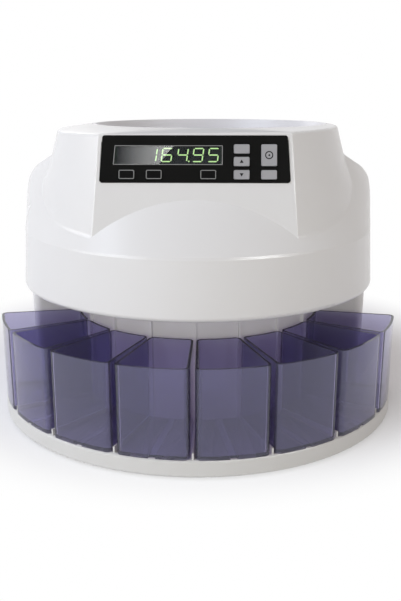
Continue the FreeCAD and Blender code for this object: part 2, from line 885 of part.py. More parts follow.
def make_panel():
    inner = "panel_proud - panel_thickness"
    blank = panel_blank("panel_thickness - panel_proud", "panel_thickness", "0")
    low = f"{inner} - overrun"
    high = "panel_proud + overrun"
    hole_round = ("key_round + sliding_gap", along(facet_normal()))
    holes = [rounded(key_box(name, "sliding_gap", low, high), hole_round) for name in KEYS]
    window = facet_box("window_left", "window_right", "window_top", "window_bottom", low, high)
    node(cut(blank, window, *holes), "display_panel")
    lens = facet_box("window_left + fit_gap", "window_right - fit_gap", "window_top + fit_gap",
                     "window_bottom - fit_gap", window_back(), "panel_proud - window_sink")
    node(lens, "display_window")


def window_back():
    return "(panel_proud - window_sink - window_thickness)"


def board_face():
    key_end = "panel_proud - panel_thickness - sliding_gap - key_flange_thickness - key_stem_length"
    return f"({key_end} - key_travel - switch_gap - switch_height)"


def make_display():
    block = facet_box("window_left + module_inset_side", "window_right - module_inset_side",
                      "window_top + module_inset", "window_bottom - module_inset",
                      board_face(), window_back())
    node(block, "display_module")
    board = facet_box("0 - board_half_width", "board_half_width", "board_top", "board_bottom",
                      f"{board_face()} - board_thickness", board_face())
    node(board, "control_board")
    switches = []
    for middle, top, height in KEYS.values():
        down = f"{top} + {height} / 2"
        switches.append(facet_box(f"{middle} - switch_size / 2", f"{middle} + switch_size / 2",
                                  f"{down} - switch_size / 2", f"{down} + switch_size / 2",
                                  board_face(), f"{board_face()} + switch_height"))
    node(grouped(*switches), "key_switches")


def make_keys():
    back = "panel_proud - panel_thickness - sliding_gap"
    flange_back = f"{back} - key_flange_thickness"
    cap_round = ("key_round", along(facet_normal()))
    for name, (middle, top, height) in KEYS.items():
        cap = rounded(key_box(name, "0", back, "panel_proud + key_proud"), cap_round)
        flange = key_box(name, "key_flange", flange_back, back)
        spot = (middle, f"0 - {top} - {height} / 2", f"{flange_back} - key_stem_length")
        stem = cylinder("key_stem_radius", "key_stem_length", spot, facet_frame())
        node(fused(cap, flange, stem), name)


# Hopper bowl: a funnel turned about the axis of the offset opening, hung from a flange under the top.
def make_bowl():
    bowl = new_body("bowl")
    under_top = "overall_height - housing_wall"
    outside = "bowl_radius + bowl_wall"
    corners = [
        ("bowl_mouth_radius", "bowl_mouth_height"),
        ("bowl_waist_radius", "bowl_waist_height"),
        ("bowl_lip_radius", "bowl_lip_height"),
        ("bowl_radius", "overall_height"),
        (outside, "overall_height"),
        (outside, under_top),
        (f"{outside} + bowl_flange_width", under_top),
        (f"{outside} + bowl_flange_width", f"{under_top} - bowl_flange"),
        ("bowl_lip_radius + bowl_wall", "bowl_lip_height"),
        ("bowl_waist_radius + bowl_wall", "bowl_waist_height"),
        ("bowl_mouth_radius + bowl_wall", "bowl_mouth_height"),
    ]
    revolved(bowl, outline(bowl, "XZ_Plane", corners))
    bowl.Placement = Placement(Vector(size("bowl_offset_right"), size("bowl_offset_back"), 0), Rotation())
    node(bowl, "hopper_bowl")


# Deck that closes the drum, with a coin outlet above every cup, and the graded sorting ring on it.
def coin_radius(index):
    return f"(smallest_coin + coin_step * {index}) / 2"


def make_deck():
    plate = cylinder("drum_radius - housing_wall - deck_gap", "deck_thickness", (0, 0, "deck_bottom"))
    hub = cylinder("hub_radius", "deck_bottom - hub_bottom + bite", (0, 0, "hub_bottom"))
    through = "deck_thickness + 2 * overrun"
    under = "deck_bottom - overrun"
    outlets = [cylinder(f"{coin_radius(index)} + outlet_gap", through, ("coin_circle", 0, under),
                        at_azimuth(cup_azimuth(index))) for index in range(CUPS)]
    bore = cylinder("bearing_radius + fit_gap", f"deck_bottom - hub_bottom + {through}",
                    (0, 0, "hub_bottom - overrun"))
    spot = ("post_circle", 0, under)
    holes = ring_of(lambda frame: cylinder("screw_radius + fit_gap", through, spot, frame), post_angles())
    node(cut(fused(plate, hub), bore, *outlets, *holes), "chute_deck")


def make_sorting_ring():
    ring = new_body("ring_profile")
    top = "ring_plate_top"
    under = "ring_plate_top - ring_plate_thickness"
    floor = "deck_bottom + deck_thickness"
    inside = "ring_plate_inner"
    outside = "ring_plate_outer"
    foot = "ring_plate_foot"
    corners = [(inside, floor), (f"{inside} + {foot}", floor), (f"{inside} + {foot}", under),
               (f"{outside} - {foot}", under), (f"{outside} - {foot}", floor), (outside, floor),
               (outside, top), (inside, top)]
    revolved(ring, outline(ring, "YZ_Plane", corners))
    slots = [cylinder(f"{coin_radius(index)} + slot_gap", f"{top} - ({floor}) + 2 * overrun",
                      ("coin_circle", 0, f"{floor} - overrun"), at_azimuth(cup_azimuth(index)))
             for index in range(CUPS)]
    node(cut(ring, *slots), "sorting_ring")
    sensors = [box("sensor_depth", "sensor_width", "sensor_height",
                   ("ring_plate_inner + ring_plate_foot + sensor_depth", 0, floor),
                   at_azimuth(cup_azimuth(index) + size("cup_pitch") / 2)) for index in range(CUPS)]
    node(grouped(*sensors), "coin_sensors")


# Spindle: shaft, bearings, toothed drive wheel, sorting rotor and the agitator in the bowl's mouth.
def ring(outer, inner, height, at):
    x, y, z = at
    bore = cylinder(inner, f"{height} + 2 * overrun", (x, y, f"{z} - overrun"))
    return cut(cylinder(outer, height, at), bore)


def make_spindle():
    collar_low = "plate_bottom + plate_thickness + collar_gap"
    shaft = cylinder("shaft_radius", "shaft_top - shaft_bottom", (0, 0, "shaft_bottom"))
    collar = cylinder("collar_radius", f"gear_bottom - ({collar_low})", (0, 0, collar_low))
    node(fused(shaft, collar), "main_shaft")
    bore = "shaft_radius + running_gap"
    for name, top in (("lower_bearing", "plate_bottom + plate_thickness"), ("upper_bearing", "deck_bottom")):
        node(ring("bearing_radius", bore, "bearing_height", (0, 0, f"{top} - bearing_height")), name)

    rotor_top = "ring_plate_top + rotor_lift"
    plate = cylinder("rotor_radius", "rotor_thickness", (0, 0, f"{rotor_top} - rotor_thickness"))
    arms = []
    for index in range(round(size("arm_count"))):
        frame = Placement(Vector(), turned(360 / size("arm_count") * index))
        middle = "(arm_start + arm_tip) / 2"
        arms.append(box("arm_tip - arm_start", "arm_width", "arm_height", (middle, 0, rotor_top), frame))
    hole = cylinder("shaft_radius + fit_gap", "rotor_thickness + 2 * overrun",
                    (0, 0, f"{rotor_top} - rotor_thickness - overrun"))
    node(cut(fused(plate, *arms), hole), "sorter_rotor")
    make_agitator(rotor_top)


def make_agitator(seat):
    dome = new_body("agitator_dome")
    corners = [("0", seat), ("agitator_radius", seat), ("agitator_radius", f"{seat} + agitator_rim"),
               ("agitator_crown_radius", f"{seat} + agitator_crown"), ("0", f"{seat} + agitator_crown")]
    revolved(dome, outline(dome, "XZ_Plane", corners))
    ridges = []
    for index in range(round(size("ridge_count"))):
        frame = Placement(Vector(), turned(360 / size("ridge_count") * index))
        length = "agitator_radius - agitator_crown_radius - ridge_inset"
        middle = f"agitator_crown_radius + ({length}) / 2"
        ridges.append(box(length, "ridge_width", "ridge_height - bite", (middle, 0, f"{seat} + bite"), frame))
    hole = cylinder("shaft_radius + fit_gap", "agitator_crown + 2 * overrun", (0, 0, f"{seat} - overrun"))
    node(cut(fused(dome, *ridges), hole), "feed_disc")
    nut_low = f"{seat} + agitator_crown"
    cap = cylinder("nut_radius", f"shaft_top + nut_cover - ({nut_low})", (0, 0, nut_low))
    blind = cylinder("shaft_radius + fit_gap", f"shaft_top + fit_gap + overrun - ({nut_low})",
                     (0, 0, f"{nut_low} - overrun"))
    node(cut(cap, blind), "spindle_nut")


# Spur wheels with straight-sided teeth that taper like involutes over three heights of each flank.
def gear_outline(teeth, phase):
    module = size("gear_module")
    pitch = module * teeth / 2
    pressure = math.radians(20)
    base = pitch * math.cos(pressure)
    half_pitch = math.pi / (2 * teeth) - size("gear_backlash") / (2 * pitch)

    def half_tooth(radius):
        turn = math.acos(min(1.0, base / max(radius, base)))
        flat = math.tan(pressure) - pressure
        return half_pitch + flat - (math.tan(turn) - turn)

    root = pitch - 1.2 * module
    tip = pitch + module
    flank = [root, max(base, (root + pitch) / 2), pitch, (pitch + tip) / 2, tip]
    points = []
    for tooth in range(teeth):
        middle = 2 * math.pi * tooth / teeth + phase
        side = [(radius, half_tooth(radius)) for radius in flank]
        for radius, half in side:
            points.append(polar(radius, middle - half))
        for radius, half in reversed(side):
            points.append(polar(radius, middle + half))
    points.append(points[0])
    return Part.Face(Part.makePolygon(points))


def polar(radius, angle):
    return Vector(radius * math.cos(angle), radius * math.sin(angle), 0)


def gear(name, teeth, phase, centre):
    item = doc.addObject("Part::Feature", name)
    item.Shape = gear_outline(teeth, phase).extrude(Vector(0, 0, size("gear_width")))
    item.Placement = Placement(Vector(0, size(centre), size("gear_bottom")), Rotation())
    return item


def make_drive():
    teeth = round(size("gear_teeth"))
    small = round(size("pinion_teeth"))
    # A tooth of the wheel points at the pinion, and a gap of the pinion points back at it.
    wheel = gear("wheel_teeth", teeth, math.pi / 2, "0")
    through = "gear_width + 2 * overrun"
    under = "gear_bottom - overrun"
    spot = ("gear_hole_circle", 0, under)
    holes = ring_of(lambda frame: cylinder("gear_hole_radius", through, spot, frame), range(0, 360, 60))
    bore = cylinder("shaft_radius + fit_gap", through, (0, 0, under))
    node(cut(wheel, bore, *holes), "drive_gear")
    pinion = gear("pinion_teeth", small, -math.pi / 2 + math.pi / small, "shaft_distance")
    motor_y = "shaft_distance"
    node(cut(pinion, cylinder("motor_shaft_radius + fit_gap", through, (0, motor_y, under))), "motor_pinion")
    shaft_low = "plate_bottom - motor_shaft_inset"
    node(cylinder("motor_shaft_radius", f"gear_bottom + gear_width + overrun - ({shaft_low})",
                  (0, motor_y, shaft_low)), "motor_shaft")
    can = cylinder("motor_radius", "motor_length", (0, motor_y, "plate_bottom - motor_length"))
    boss = cylinder("motor_boss_radius", "plate_thickness + bite", (0, motor_y, "plate_bottom - bite"))
    tail = cylinder("motor_boss_radius", "motor_tail + bite",
                    (0, motor_y, "plate_bottom - motor_length - motor_tail"))
    motor_bore = cylinder("motor_shaft_radius + running_gap",
                          "motor_shaft_inset + sliding_gap + plate_thickness + overrun",
                          (0, motor_y, f"{shaft_low} - sliding_gap"))
    node(cut(fused(can, boss, tail), motor_bore), "motor")


def standoff_spots():
    x = "plate_half_width - standoff_inset"
    return [(f"{sign} * ({x})", y) for sign in (1, -1)
            for y in ("standoff_inset - plate_front", "plate_back - standoff_inset")]


def make_drive_frame():
    plate = new_body("drive_plate_body")
    half = "plate_half_width"
    front_left = (f"0 - {half}", "0 - plate_front")
    blank = rectangle(plate, "XY_Plane", front_left, (half, "plate_back"), "plate_bottom")
    pad(plate, blank, "plate_thickness")
    fillet(plate, "standoff_inset", along(Vector(0, 0, 1)))
    hub_low = "plate_bottom + plate_thickness - bearing_height"
    hub = cylinder("plate_hub_radius", "bearing_height", (0, 0, hub_low))
    seat = cylinder("bearing_radius + fit_gap", "bearing_height + 2 * overrun",
                    (0, 0, f"{hub_low} - overrun"))
    motor_hole = cylinder("motor_boss_radius + sliding_gap", "plate_thickness + 2 * overrun",
                          (0, "shaft_distance", "plate_bottom - overrun"))
    node(cut(fused(plate, hub), seat, motor_hole), "drive_plate")
    legs = [cylinder("standoff_radius", "plate_bottom - base_top", (*spot, "base_top"))
            for spot in standoff_spots()]
    node(grouped(*legs), "drive_standoffs")


# Electrics in the rear housing
def power_board_corners():
    across = "(power_board_width / 2 - board_post_inset)"
    deep = "(power_board_depth / 2 - board_post_inset)"
    return [(f"power_board_x + {right} * {across}", f"power_board_y + {back} * {deep}")
            for right in (1, -1) for back in (1, -1)]


def make_electrics():
    core = box("transformer_width", "transformer_depth", "transformer_height",
               ("transformer_x", "transformer_y", "base_top"))
    coil = box("coil_width", "coil_depth", "coil_height",
               ("transformer_x", "transformer_y", "base_top + (transformer_height - coil_height) / 2"))
    node(fused(core, coil), "transformer")
    low = "base_top + power_board_post"
    board = box("power_board_width", "power_board_depth", "board_thickness",
                ("power_board_x", "power_board_y", low))
    top = f"{low} + board_thickness"
    row = "power_board_y + capacitor_offset"
    capacitors = [cylinder("capacitor_radius", "capacitor_height",
                           (f"power_board_x + {side} * capacitor_spacing / 2", row, top)) for side in (1, -1)]
    sink = box("heat_sink_width", "heat_sink_depth", "heat_sink_height",
               ("power_board_x", "power_board_y - heat_sink_offset", top))
    node(fused(board, sink, *capacitors), "power_board")


def connector_body(x, width, height, depth):
    middle = f"connector_z - {height} / 2"
    body = box(width, depth, height, (x, f"rear_face - {depth} / 2", middle))
    flange = box(f"{width} + 2 * flange_edge", "flange_thickness", f"{height} + 2 * flange_edge",
                 (x, "rear_face + flange_thickness / 2", f"{middle} - flange_edge"))
    return fused(body, flange)


def connector_recess(x, width, height, depth):
    reach = f"({depth} + flange_thickness + overrun)"
    return box(width, reach, height, (x, f"rear_face + flange_thickness + overrun - {reach} / 2",
                                      f"connector_z - ({height}) / 2"))


def hollow_connector(x, width, height, depth):
    recess = connector_recess(x, f"{width} - 2 * connector_wall", f"{height} - 2 * connector_wall",
                              f"{depth} - connector_back")
    return cut(connector_body(x, width, height, depth), recess)


def make_connectors():
    socket = hollow_connector("inlet_x", "inlet_width", "inlet_height", "inlet_depth")
    pin_y = "rear_face - inlet_depth + connector_back - bite + pin_length / 2"
    pin_low = "connector_z - pin_height / 2"
    pins = [box("pin_width", "pin_length", "pin_height",
                (f"inlet_x + {side} * pin_spread", pin_y, f"{pin_low} + {lift} * pin_drop"))
            for side, lift in ((-1, -1), (0, 1), (1, -1))]
    node(fused(socket, *pins), "power_inlet")
    node(hollow_connector("port_x", "port_width", "port_height", "port_depth"), "data_port")
    make_rocker_switch()


def make_rocker_switch():
    frame = connector_body("switch_x", "switch_width", "switch_tall", "switch_depth")
    hollow = connector_recess("switch_x", "rocker_width + 4 * sliding_gap", "rocker_tall + 9 * sliding_gap",
                              "switch_depth - switch_back")
    sideways = turned(90, (0, 1, 0))
    reach = "rocker_width + 2 * pivot_length"
    start = ("switch_x - rocker_width / 2 - pivot_length", "rear_face - pivot_depth", "connector_z")
    socket_start = (f"{start[0]} - sliding_gap", start[1], start[2])
    socket = cylinder("pivot_radius + running_gap", f"{reach} + 2 * sliding_gap",
                      socket_start, None, sideways)
    node(cut(frame, hollow, socket), "switch_frame")

    cap = new_body("rocker_cap")
    corners = [("0 - pivot_depth", "0 - rocker_tall / 2"), ("rocker_front", "0 - rocker_tall / 2"),
               ("rocker_front - rocker_dip", "0"), ("rocker_front", "rocker_tall / 2"),
               ("0 - pivot_depth", "rocker_tall / 2")]
    pad(cap, outline(cap, "YZ_Plane", corners), "rocker_width", True)
    pivot = Vector(size("switch_x"), size(start[1]), size(start[2]))
    cap.Placement = Placement(pivot, turned(-size("rocker_tilt"), (1, 0, 0)))
    pin = cylinder("pivot_radius", reach, start, None, sideways)
    node(fused(cap, pin), "power_rocker")


# Screws: head below, shank up into its boss.
def screw(x, y, seat, frame=None):
    head = cylinder("screw_head_radius", "screw_head_height", (x, y, f"{seat} - screw_head_height"), frame)
    shank = cylinder("screw_radius", "screw_length", (x, y, seat), frame)
    return fused(head, shank)


def make_screws():
    node(grouped(*[screw(x, y, "base_top - base_skin") for x, y in base_screw_spots()]), "base_screws")
    node(grouped(*ring_of(lambda frame: screw("post_circle", 0, "deck_bottom", frame), post_angles())),
         "housing_screws")


def check_and_write():
    doc.recompute()
    for item in doc.Objects:
        if "Invalid" in item.State or "Error" in item.State:
            raise RuntimeError(f"{item.Name} ({item.Label}) failed: {item.State}")
    for item in nodes:
        if item.Shape.isNull() or not item.Shape.isValid():
            raise RuntimeError(f"{item.Label} is not a valid shape")
    os.makedirs("parts", exist_ok=True)
    for item in nodes:
        item.Shape.exportStep(f"parts/{item.Label}.step")
    print(len(nodes), "nodes written")


make_base()
make_feet()
for number in range(CUPS):
    make_cup(number)
make_column()
make_rear_housing()
make_upper_housing()
make_panel()
make_display()
make_keys()
make_bowl()
make_deck()
make_sorting_ring()
make_spindle()
make_drive()
make_drive_frame()
make_electrics()
make_connectors()
make_screws()
check_and_write()
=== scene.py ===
import json
import math

import bmesh
import bpy
import numpy as np
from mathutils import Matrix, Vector


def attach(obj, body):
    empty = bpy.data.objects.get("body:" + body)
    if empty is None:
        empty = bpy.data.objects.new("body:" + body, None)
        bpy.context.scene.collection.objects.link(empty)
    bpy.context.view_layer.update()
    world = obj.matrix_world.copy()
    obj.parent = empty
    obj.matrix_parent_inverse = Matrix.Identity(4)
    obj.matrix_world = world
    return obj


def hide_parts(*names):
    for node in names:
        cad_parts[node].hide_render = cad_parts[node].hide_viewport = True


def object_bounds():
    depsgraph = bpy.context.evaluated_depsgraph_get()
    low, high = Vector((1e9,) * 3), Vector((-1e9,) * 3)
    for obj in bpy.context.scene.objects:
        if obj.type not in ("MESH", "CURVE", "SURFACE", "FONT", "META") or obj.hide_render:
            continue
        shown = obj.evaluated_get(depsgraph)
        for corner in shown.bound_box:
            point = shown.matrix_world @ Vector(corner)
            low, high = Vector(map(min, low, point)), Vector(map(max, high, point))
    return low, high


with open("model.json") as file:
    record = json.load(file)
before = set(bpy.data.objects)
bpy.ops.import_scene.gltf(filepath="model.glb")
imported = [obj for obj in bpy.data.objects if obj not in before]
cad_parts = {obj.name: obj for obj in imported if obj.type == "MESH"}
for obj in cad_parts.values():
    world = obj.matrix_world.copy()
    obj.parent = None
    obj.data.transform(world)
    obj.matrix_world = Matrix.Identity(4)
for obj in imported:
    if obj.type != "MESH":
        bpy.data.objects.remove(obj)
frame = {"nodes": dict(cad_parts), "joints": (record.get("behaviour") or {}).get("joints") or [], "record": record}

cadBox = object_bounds()
nodes = frame["nodes"]
joints = {joint["name"]: joint for joint in frame["joints"]}
scene = bpy.context.scene
cups = range(1, 9)  # their places, from left to right
outlinedKeys = ("print", "report", "set")
silverKeys = ("mode", "up", "down", "start", "clear")
joining = {"decimals": 6, "distance": 0.00001}  # points nearer than this, in metres, are one
print("frame loaded:", len(nodes), "nodes")

# the display facet: outward normal from a key's travel, right along X, up along the slope
facet = {"normal": -np.array(joints["up_key_press"]["axis"]), "right": np.array([1.0, 0.0, 0.0])}
facet["up"] = np.cross(facet["normal"], facet["right"])


# a node's points as one array
def meshPoints(name):
    mesh = nodes[name].data
    flat = np.empty(len(mesh.vertices) * 3)
    mesh.vertices.foreach_get("co", flat)
    return flat.reshape(-1, 3)


# left, right, bottom, top and front of a node along the facet's directions, within a depth behind its front
def facetSpan(name, depth=math.inf):
    points = meshPoints(name)
    outward = points @ facet["normal"]
    near = points[outward > outward.max() - depth]
    across, upward = near @ facet["right"], near @ facet["up"]
    return across.min(), across.max(), upward.min(), upward.max(), outward.max()


# points from their distances along the facet's right, up and normal
def onFacet(across, upward, outward):
    return (np.multiply.outer(across, facet["right"]) + np.multiply.outer(upward, facet["up"])
            + np.multiply.outer(outward, facet["normal"]))


# grids: points[row, column] joined to quads, closed round either way where asked
def gridFaces(rows, columns, closeRows=False, closeColumns=False):
    row = np.arange(rows if closeRows else rows - 1)
    column = np.arange(columns if closeColumns else columns - 1)
    row, column = (place.ravel() for place in np.meshgrid(row, column, indexing="ij"))
    nextRow, nextColumn = (row + 1) % rows, (column + 1) % columns
    corners = ((row, column), (nextRow, column), (nextRow, nextColumn), (row, nextColumn))
    return np.stack([down * columns + across for down, across in corners], 1)


# a piece of the object: its mesh, its finish and the body it rides on
def addPiece(name, points, faces, material, body, smooth=True):
    mesh = bpy.data.meshes.new(name)
    mesh.from_pydata(np.asarray(points).reshape(-1, 3).tolist(), [], faces)
    mesh.polygons.foreach_set("use_smooth", np.full(len(mesh.polygons), smooth))
    mesh.materials.append(material)
    mesh.validate()
    mesh.update()
    piece = bpy.data.objects.new(name, mesh)
    scene.collection.objects.link(piece)
    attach(piece, body)
    return piece


# a shader group with its sockets, ready for nodes between them
def newGroup(name, inputs, outputs):
    group = bpy.data.node_groups.new(name, "ShaderNodeTree")
    for label, kind, value in inputs:
        socket = group.interface.new_socket(label, in_out="INPUT", socket_type=kind)
        socket.default_value = value
    for label, kind in outputs:
        group.interface.new_socket(label, in_out="OUTPUT", socket_type=kind)
    return group, group.nodes.new("NodeGroupInput"), group.nodes.new("NodeGroupOutput")


# what moulded surfaces have in common
mould = {"grainDetail": 3, "patchDetail": 4, "bumpStrength": 0.5, "metallic": 0.0, "specular": 0.5}


# moulded grain: a fine noise for the bump and a slow one that tints and roughens in soft patches
def makeMouldGrain():
    group, given, result = newGroup(
        "mouldGrain",
        [("Vector", "NodeSocketVector", (0, 0, 0)), ("Grain Scale", "NodeSocketFloat", 1800.0),
         ("Patch Scale", "NodeSocketFloat", 9.0), ("Base", "NodeSocketColor", (0.8, 0.8, 0.8, 1)),
         ("Patch", "NodeSocketColor", (0.75, 0.75, 0.75, 1)), ("Rough Low", "NodeSocketFloat", 0.35),
         ("Rough High", "NodeSocketFloat", 0.5)],
        [("Color", "NodeSocketColor"), ("Roughness", "NodeSocketFloat"), ("Height", "NodeSocketFloat")])
    link = group.links.new
    grain = group.nodes.new("ShaderNodeTexNoise")
    grain.inputs["Detail"].default_value = mould["grainDetail"]
    patch = group.nodes.new("ShaderNodeTexNoise")
    patch.inputs["Detail"].default_value = mould["patchDetail"]
    blend = group.nodes.new("ShaderNodeMix")
    blend.data_type = "RGBA"
    spread = group.nodes.new("ShaderNodeMapRange")
    for noise, scale in ((grain, "Grain Scale"), (patch, "Patch Scale")):
        link(given.outputs["Vector"], noise.inputs["Vector"])
        link(given.outputs[scale], noise.inputs["Scale"])
    link(patch.outputs["Fac"], blend.inputs["Factor"])
    link(given.outputs["Base"], blend.inputs["A"])
    link(given.outputs["Patch"], blend.inputs["B"])
    link(patch.outputs["Fac"], spread.inputs["Value"])
    link(given.outputs["Rough Low"], spread.inputs["To Min"])
    link(given.outputs["Rough High"], spread.inputs["To Max"])
    link(blend.outputs["Result"], result.inputs["Color"])
    link(spread.outputs["Result"], result.inputs["Roughness"])
    link(grain.outputs["Fac"], result.inputs["Height"])
    return group


mouldGrain = makeMouldGrain()


def newMaterial(name):
    material = bpy.data.materials.new(name)
    material.use_nodes = True
    return material, material.node_tree, material.node_tree.nodes["Principled BSDF"]


# screen levels from 0 to 255 as shares of light
def linear(red, green, blue):
    shares = np.array([red, green, blue]) / 255
    return tuple(np.where(shares <= 0.04045, shares / 12.92, ((shares + 0.055) / 1.055) ** 2.4)) + (1.0,)


# the grain in a material: sizes of grain and patches, roughness range and, where given, colour and tint
def grainNode(tree, look):
    coordinates = tree.nodes.new("ShaderNodeTexCoord")
    grain = tree.nodes.new("ShaderNodeGroup")
    grain.node_tree = mouldGrain
    grain.inputs["Grain Scale"].default_value = look["grainScale"]
    grain.inputs["Patch Scale"].default_value = look["patchScale"]
    grain.inputs["Rough Low"].default_value, grain.inputs["Rough High"].default_value = look["rough"]
    if "colour" in look:
        grain.inputs["Base"].default_value = linear(*look["colour"])
        grain.inputs["Patch"].default_value = linear(*look["patch"])
    tree.links.new(coordinates.outputs["Object"], grain.inputs["Vector"])
    return grain


# a moulded surface: its grain, and its bump depth in metres
def mouldedMaterial(name, look):
    material, tree, shader = newMaterial(name)
    grain = grainNode(tree, look)
    bump = tree.nodes.new("ShaderNodeBump")
    bump.inputs["Distance"].default_value = look["bump"]
    bump.inputs["Strength"].default_value = mould["bumpStrength"]
    link = tree.links.new
    link(grain.outputs["Color"], shader.inputs["Base Color"])
    link(grain.outputs["Roughness"], shader.inputs["Roughness"])
    link(grain.outputs["Height"], bump.inputs["Height"])
    link(bump.outputs["Normal"], shader.inputs["Normal"])
    shader.inputs["Metallic"].default_value = look.get("metallic", mould["metallic"])
    shader.inputs["Specular IOR Level"].default_value = look.get("specular", mould["specular"])
    return material


looks = {
    "housing": {"colour": (231, 231, 231), "patch": (226, 226, 225), "rough": (0.22, 0.30),
                "grainScale": 1500, "patchScale": 7, "bump": 0.00003},
    # the column is the housing's plastic painted lighter, painted light that stands in for the shade under the
    # drum
    "column": {"colour": (243, 243, 246), "patch": (238, 238, 241), "rough": (0.3, 0.4),
               "grainScale": 1500, "patchScale": 9, "bump": 0.00003},
    "bowl": {"colour": (230, 230, 232), "patch": (223, 223, 226), "rough": (0.25, 0.4),
             "grainScale": 900, "patchScale": 14, "bump": 0.00003},
    "base": {"colour": (222, 222, 220), "patch": (216, 216, 213), "rough": (0.38, 0.5),
             "grainScale": 1500, "patchScale": 8, "bump": 0.00004},
    "panel": {"colour": (11, 11, 10), "patch": (15, 15, 14), "rough": (0.34, 0.44),
              "grainScale": 2600, "patchScale": 30, "bump": 0.00002, "specular": 0.1},
    "silverKey": {"colour": (170, 170, 173), "patch": (162, 162, 165), "rough": (0.32, 0.42),
                  "grainScale": 3000, "patchScale": 60, "bump": 0.00002, "metallic": 0.25},
    "blackKey": {"colour": (10, 10, 10), "patch": (15, 15, 15), "rough": (0.3, 0.4),
                 "grainScale": 3000, "patchScale": 60, "bump": 0.00002, "specular": 0.1},
    "print": {"colour": (142, 143, 142), "patch": (134, 135, 134), "rough": (0.4, 0.5),
              "grainScale": 4000, "patchScale": 90, "bump": 0.00001},
    "darkPrint": {"colour": (14, 14, 15), "patch": (20, 20, 21), "rough": (0.4, 0.5),
                  "grainScale": 4000, "patchScale": 90, "bump": 0.00001, "specular": 0.2},
    "display": {"colour": (17, 19, 31), "patch": (21, 24, 36), "rough": (0.3, 0.4),
                "grainScale": 3000, "patchScale": 40, "bump": 0.00001, "specular": 0.1},
    "board": {"colour": (34, 92, 52), "patch": (28, 78, 44), "rough": (0.35, 0.5),
              "grainScale": 1200, "patchScale": 60, "bump": 0.00003},
    "deck": {"colour": (98, 98, 102), "patch": (88, 88, 92), "rough": (0.45, 0.6),
             "grainScale": 900, "patchScale": 18, "bump": 0.00005},
    "steel": {"colour": (196, 196, 198), "patch": (178, 178, 181), "rough": (0.25, 0.4),
              "grainScale": 700, "patchScale": 40, "bump": 0.00002, "metallic": 1.0},
    "rotor": {"colour": (62, 62, 66), "patch": (54, 54, 58), "rough": (0.4, 0.55),
              "grainScale": 1000, "patchScale": 25, "bump": 0.00005},
    "gear": {"colour": (226, 222, 208), "patch": (218, 213, 197), "rough": (0.4, 0.5),
             "grainScale": 1400, "patchScale": 40, "bump": 0.00003},
    "rubber": {"colour": (34, 34, 35), "patch": (42, 42, 43), "rough": (0.7, 0.85),
               "grainScale": 1600, "patchScale": 60, "bump": 0.00008, "specular": 0.3},
    "blackPlastic": {"colour": (30, 30, 32), "patch": (36, 36, 38), "rough": (0.42, 0.55),
                     "grainScale": 2200, "patchScale": 50, "bump": 0.00004},
    # painted shade for the cups' thick edges, which look dark only because light is lost along them
    "rimPaintedShade": {"colour": (22, 18, 38), "patch": (27, 22, 45), "rough": (0.4, 0.5),
                  "grainScale": 2400, "patchScale": 60, "bump": 0.00002, "specular": 0.2},
    "core": {"colour": (92, 84, 76), "patch": (78, 70, 62), "rough": (0.45, 0.6),
             "grainScale": 800, "patchScale": 40, "bump": 0.00006, "metallic": 0.6},
}
finish = {name: mouldedMaterial(name, look) for name, look in looks.items()}

# smoky cups: clear walls that absorb red and green more than blue, so edges turn deep violet
smoky = {"passed": (0.775, 0.735, 0.815), "wall": 0.0022, "rough": (0.024, 0.056), "grainScale": 1800,
         "patchScale": 24, "ior": 1.49, "shadow": (0.92, 0.915, 0.95, 1), "clear": 0.93,
         "haze": (0.70, 0.72, 0.88, 1), "sheen": (0.80, 0.84, 1.0, 1)}


# absorption of each colour: minus the logarithm of what one wall lets pass, over the wall's thickness
def makeSmoky():
    material, tree, shader = newMaterial("smokyCup")
    link = tree.links.new
    shader.inputs["Base Color"].default_value = smoky["haze"]
    shader.inputs["Specular Tint"].default_value = smoky["sheen"]
    shader.inputs["Transmission Weight"].default_value = smoky["clear"]
    shader.inputs["IOR"].default_value = smoky["ior"]
    link(grainNode(tree, smoky).outputs["Roughness"], shader.inputs["Roughness"])
    absorb = tree.nodes.new("ShaderNodeVolumeAbsorption")
    densities = -np.log(smoky["passed"]) / smoky["wall"]
    densest = densities.max()
    absorb.inputs["Color"].default_value = tuple(1 - densities / densest) + (1.0,)
    absorb.inputs["Density"].default_value = densest
    clear = tree.nodes.new("ShaderNodeBsdfTransparent")
    clear.inputs["Color"].default_value = smoky["shadow"]
    rays = tree.nodes.new("ShaderNodeLightPath")
    either = tree.nodes.new("ShaderNodeMath")
    either.operation = "MAXIMUM"
    mix = tree.nodes.new("ShaderNodeMixShader")
    output = tree.nodes["Material Output"]
    link(rays.outputs["Is Shadow Ray"], either.inputs[0])
    link(rays.outputs["Is Diffuse Ray"], either.inputs[1])
    link(either.outputs["Value"], mix.inputs["Fac"])
    link(shader.outputs["BSDF"], mix.inputs[1])
    link(clear.outputs["BSDF"], mix.inputs[2])
    link(mix.outputs["Shader"], output.inputs["Surface"])
    link(absorb.outputs["Volume"], output.inputs["Volume"])
    return material


# the window: clear, slightly grey, its polish a little uneven
lens = {"colour": (207, 213, 213), "patch": (202, 208, 208), "rough": (0.015, 0.025), "grainScale": 1800,
        "patchScale": 40, "clear": 1.0, "ior": 1.49}


def makeLens():
    material, tree, shader = newMaterial("windowLens")
    grain = grainNode(tree, lens)
    tree.links.new(grain.outputs["Color"], shader.inputs["Base Color"])
    tree.links.new(grain.outputs["Roughness"], shader.inputs["Roughness"])
    shader.inputs["Transmission Weight"].default_value = lens["clear"]
    shader.inputs["IOR"].default_value = lens["ior"]
    return material


# lit segments: a pale green light that varies a little over each bar
glow = {"body": (150, 190, 120), "colour": (194, 226, 162), "patch": (186, 218, 154), "rough": (0.45, 0.55),
        "grainScale": 3000, "patchScale": 600, "strength": 1.1}


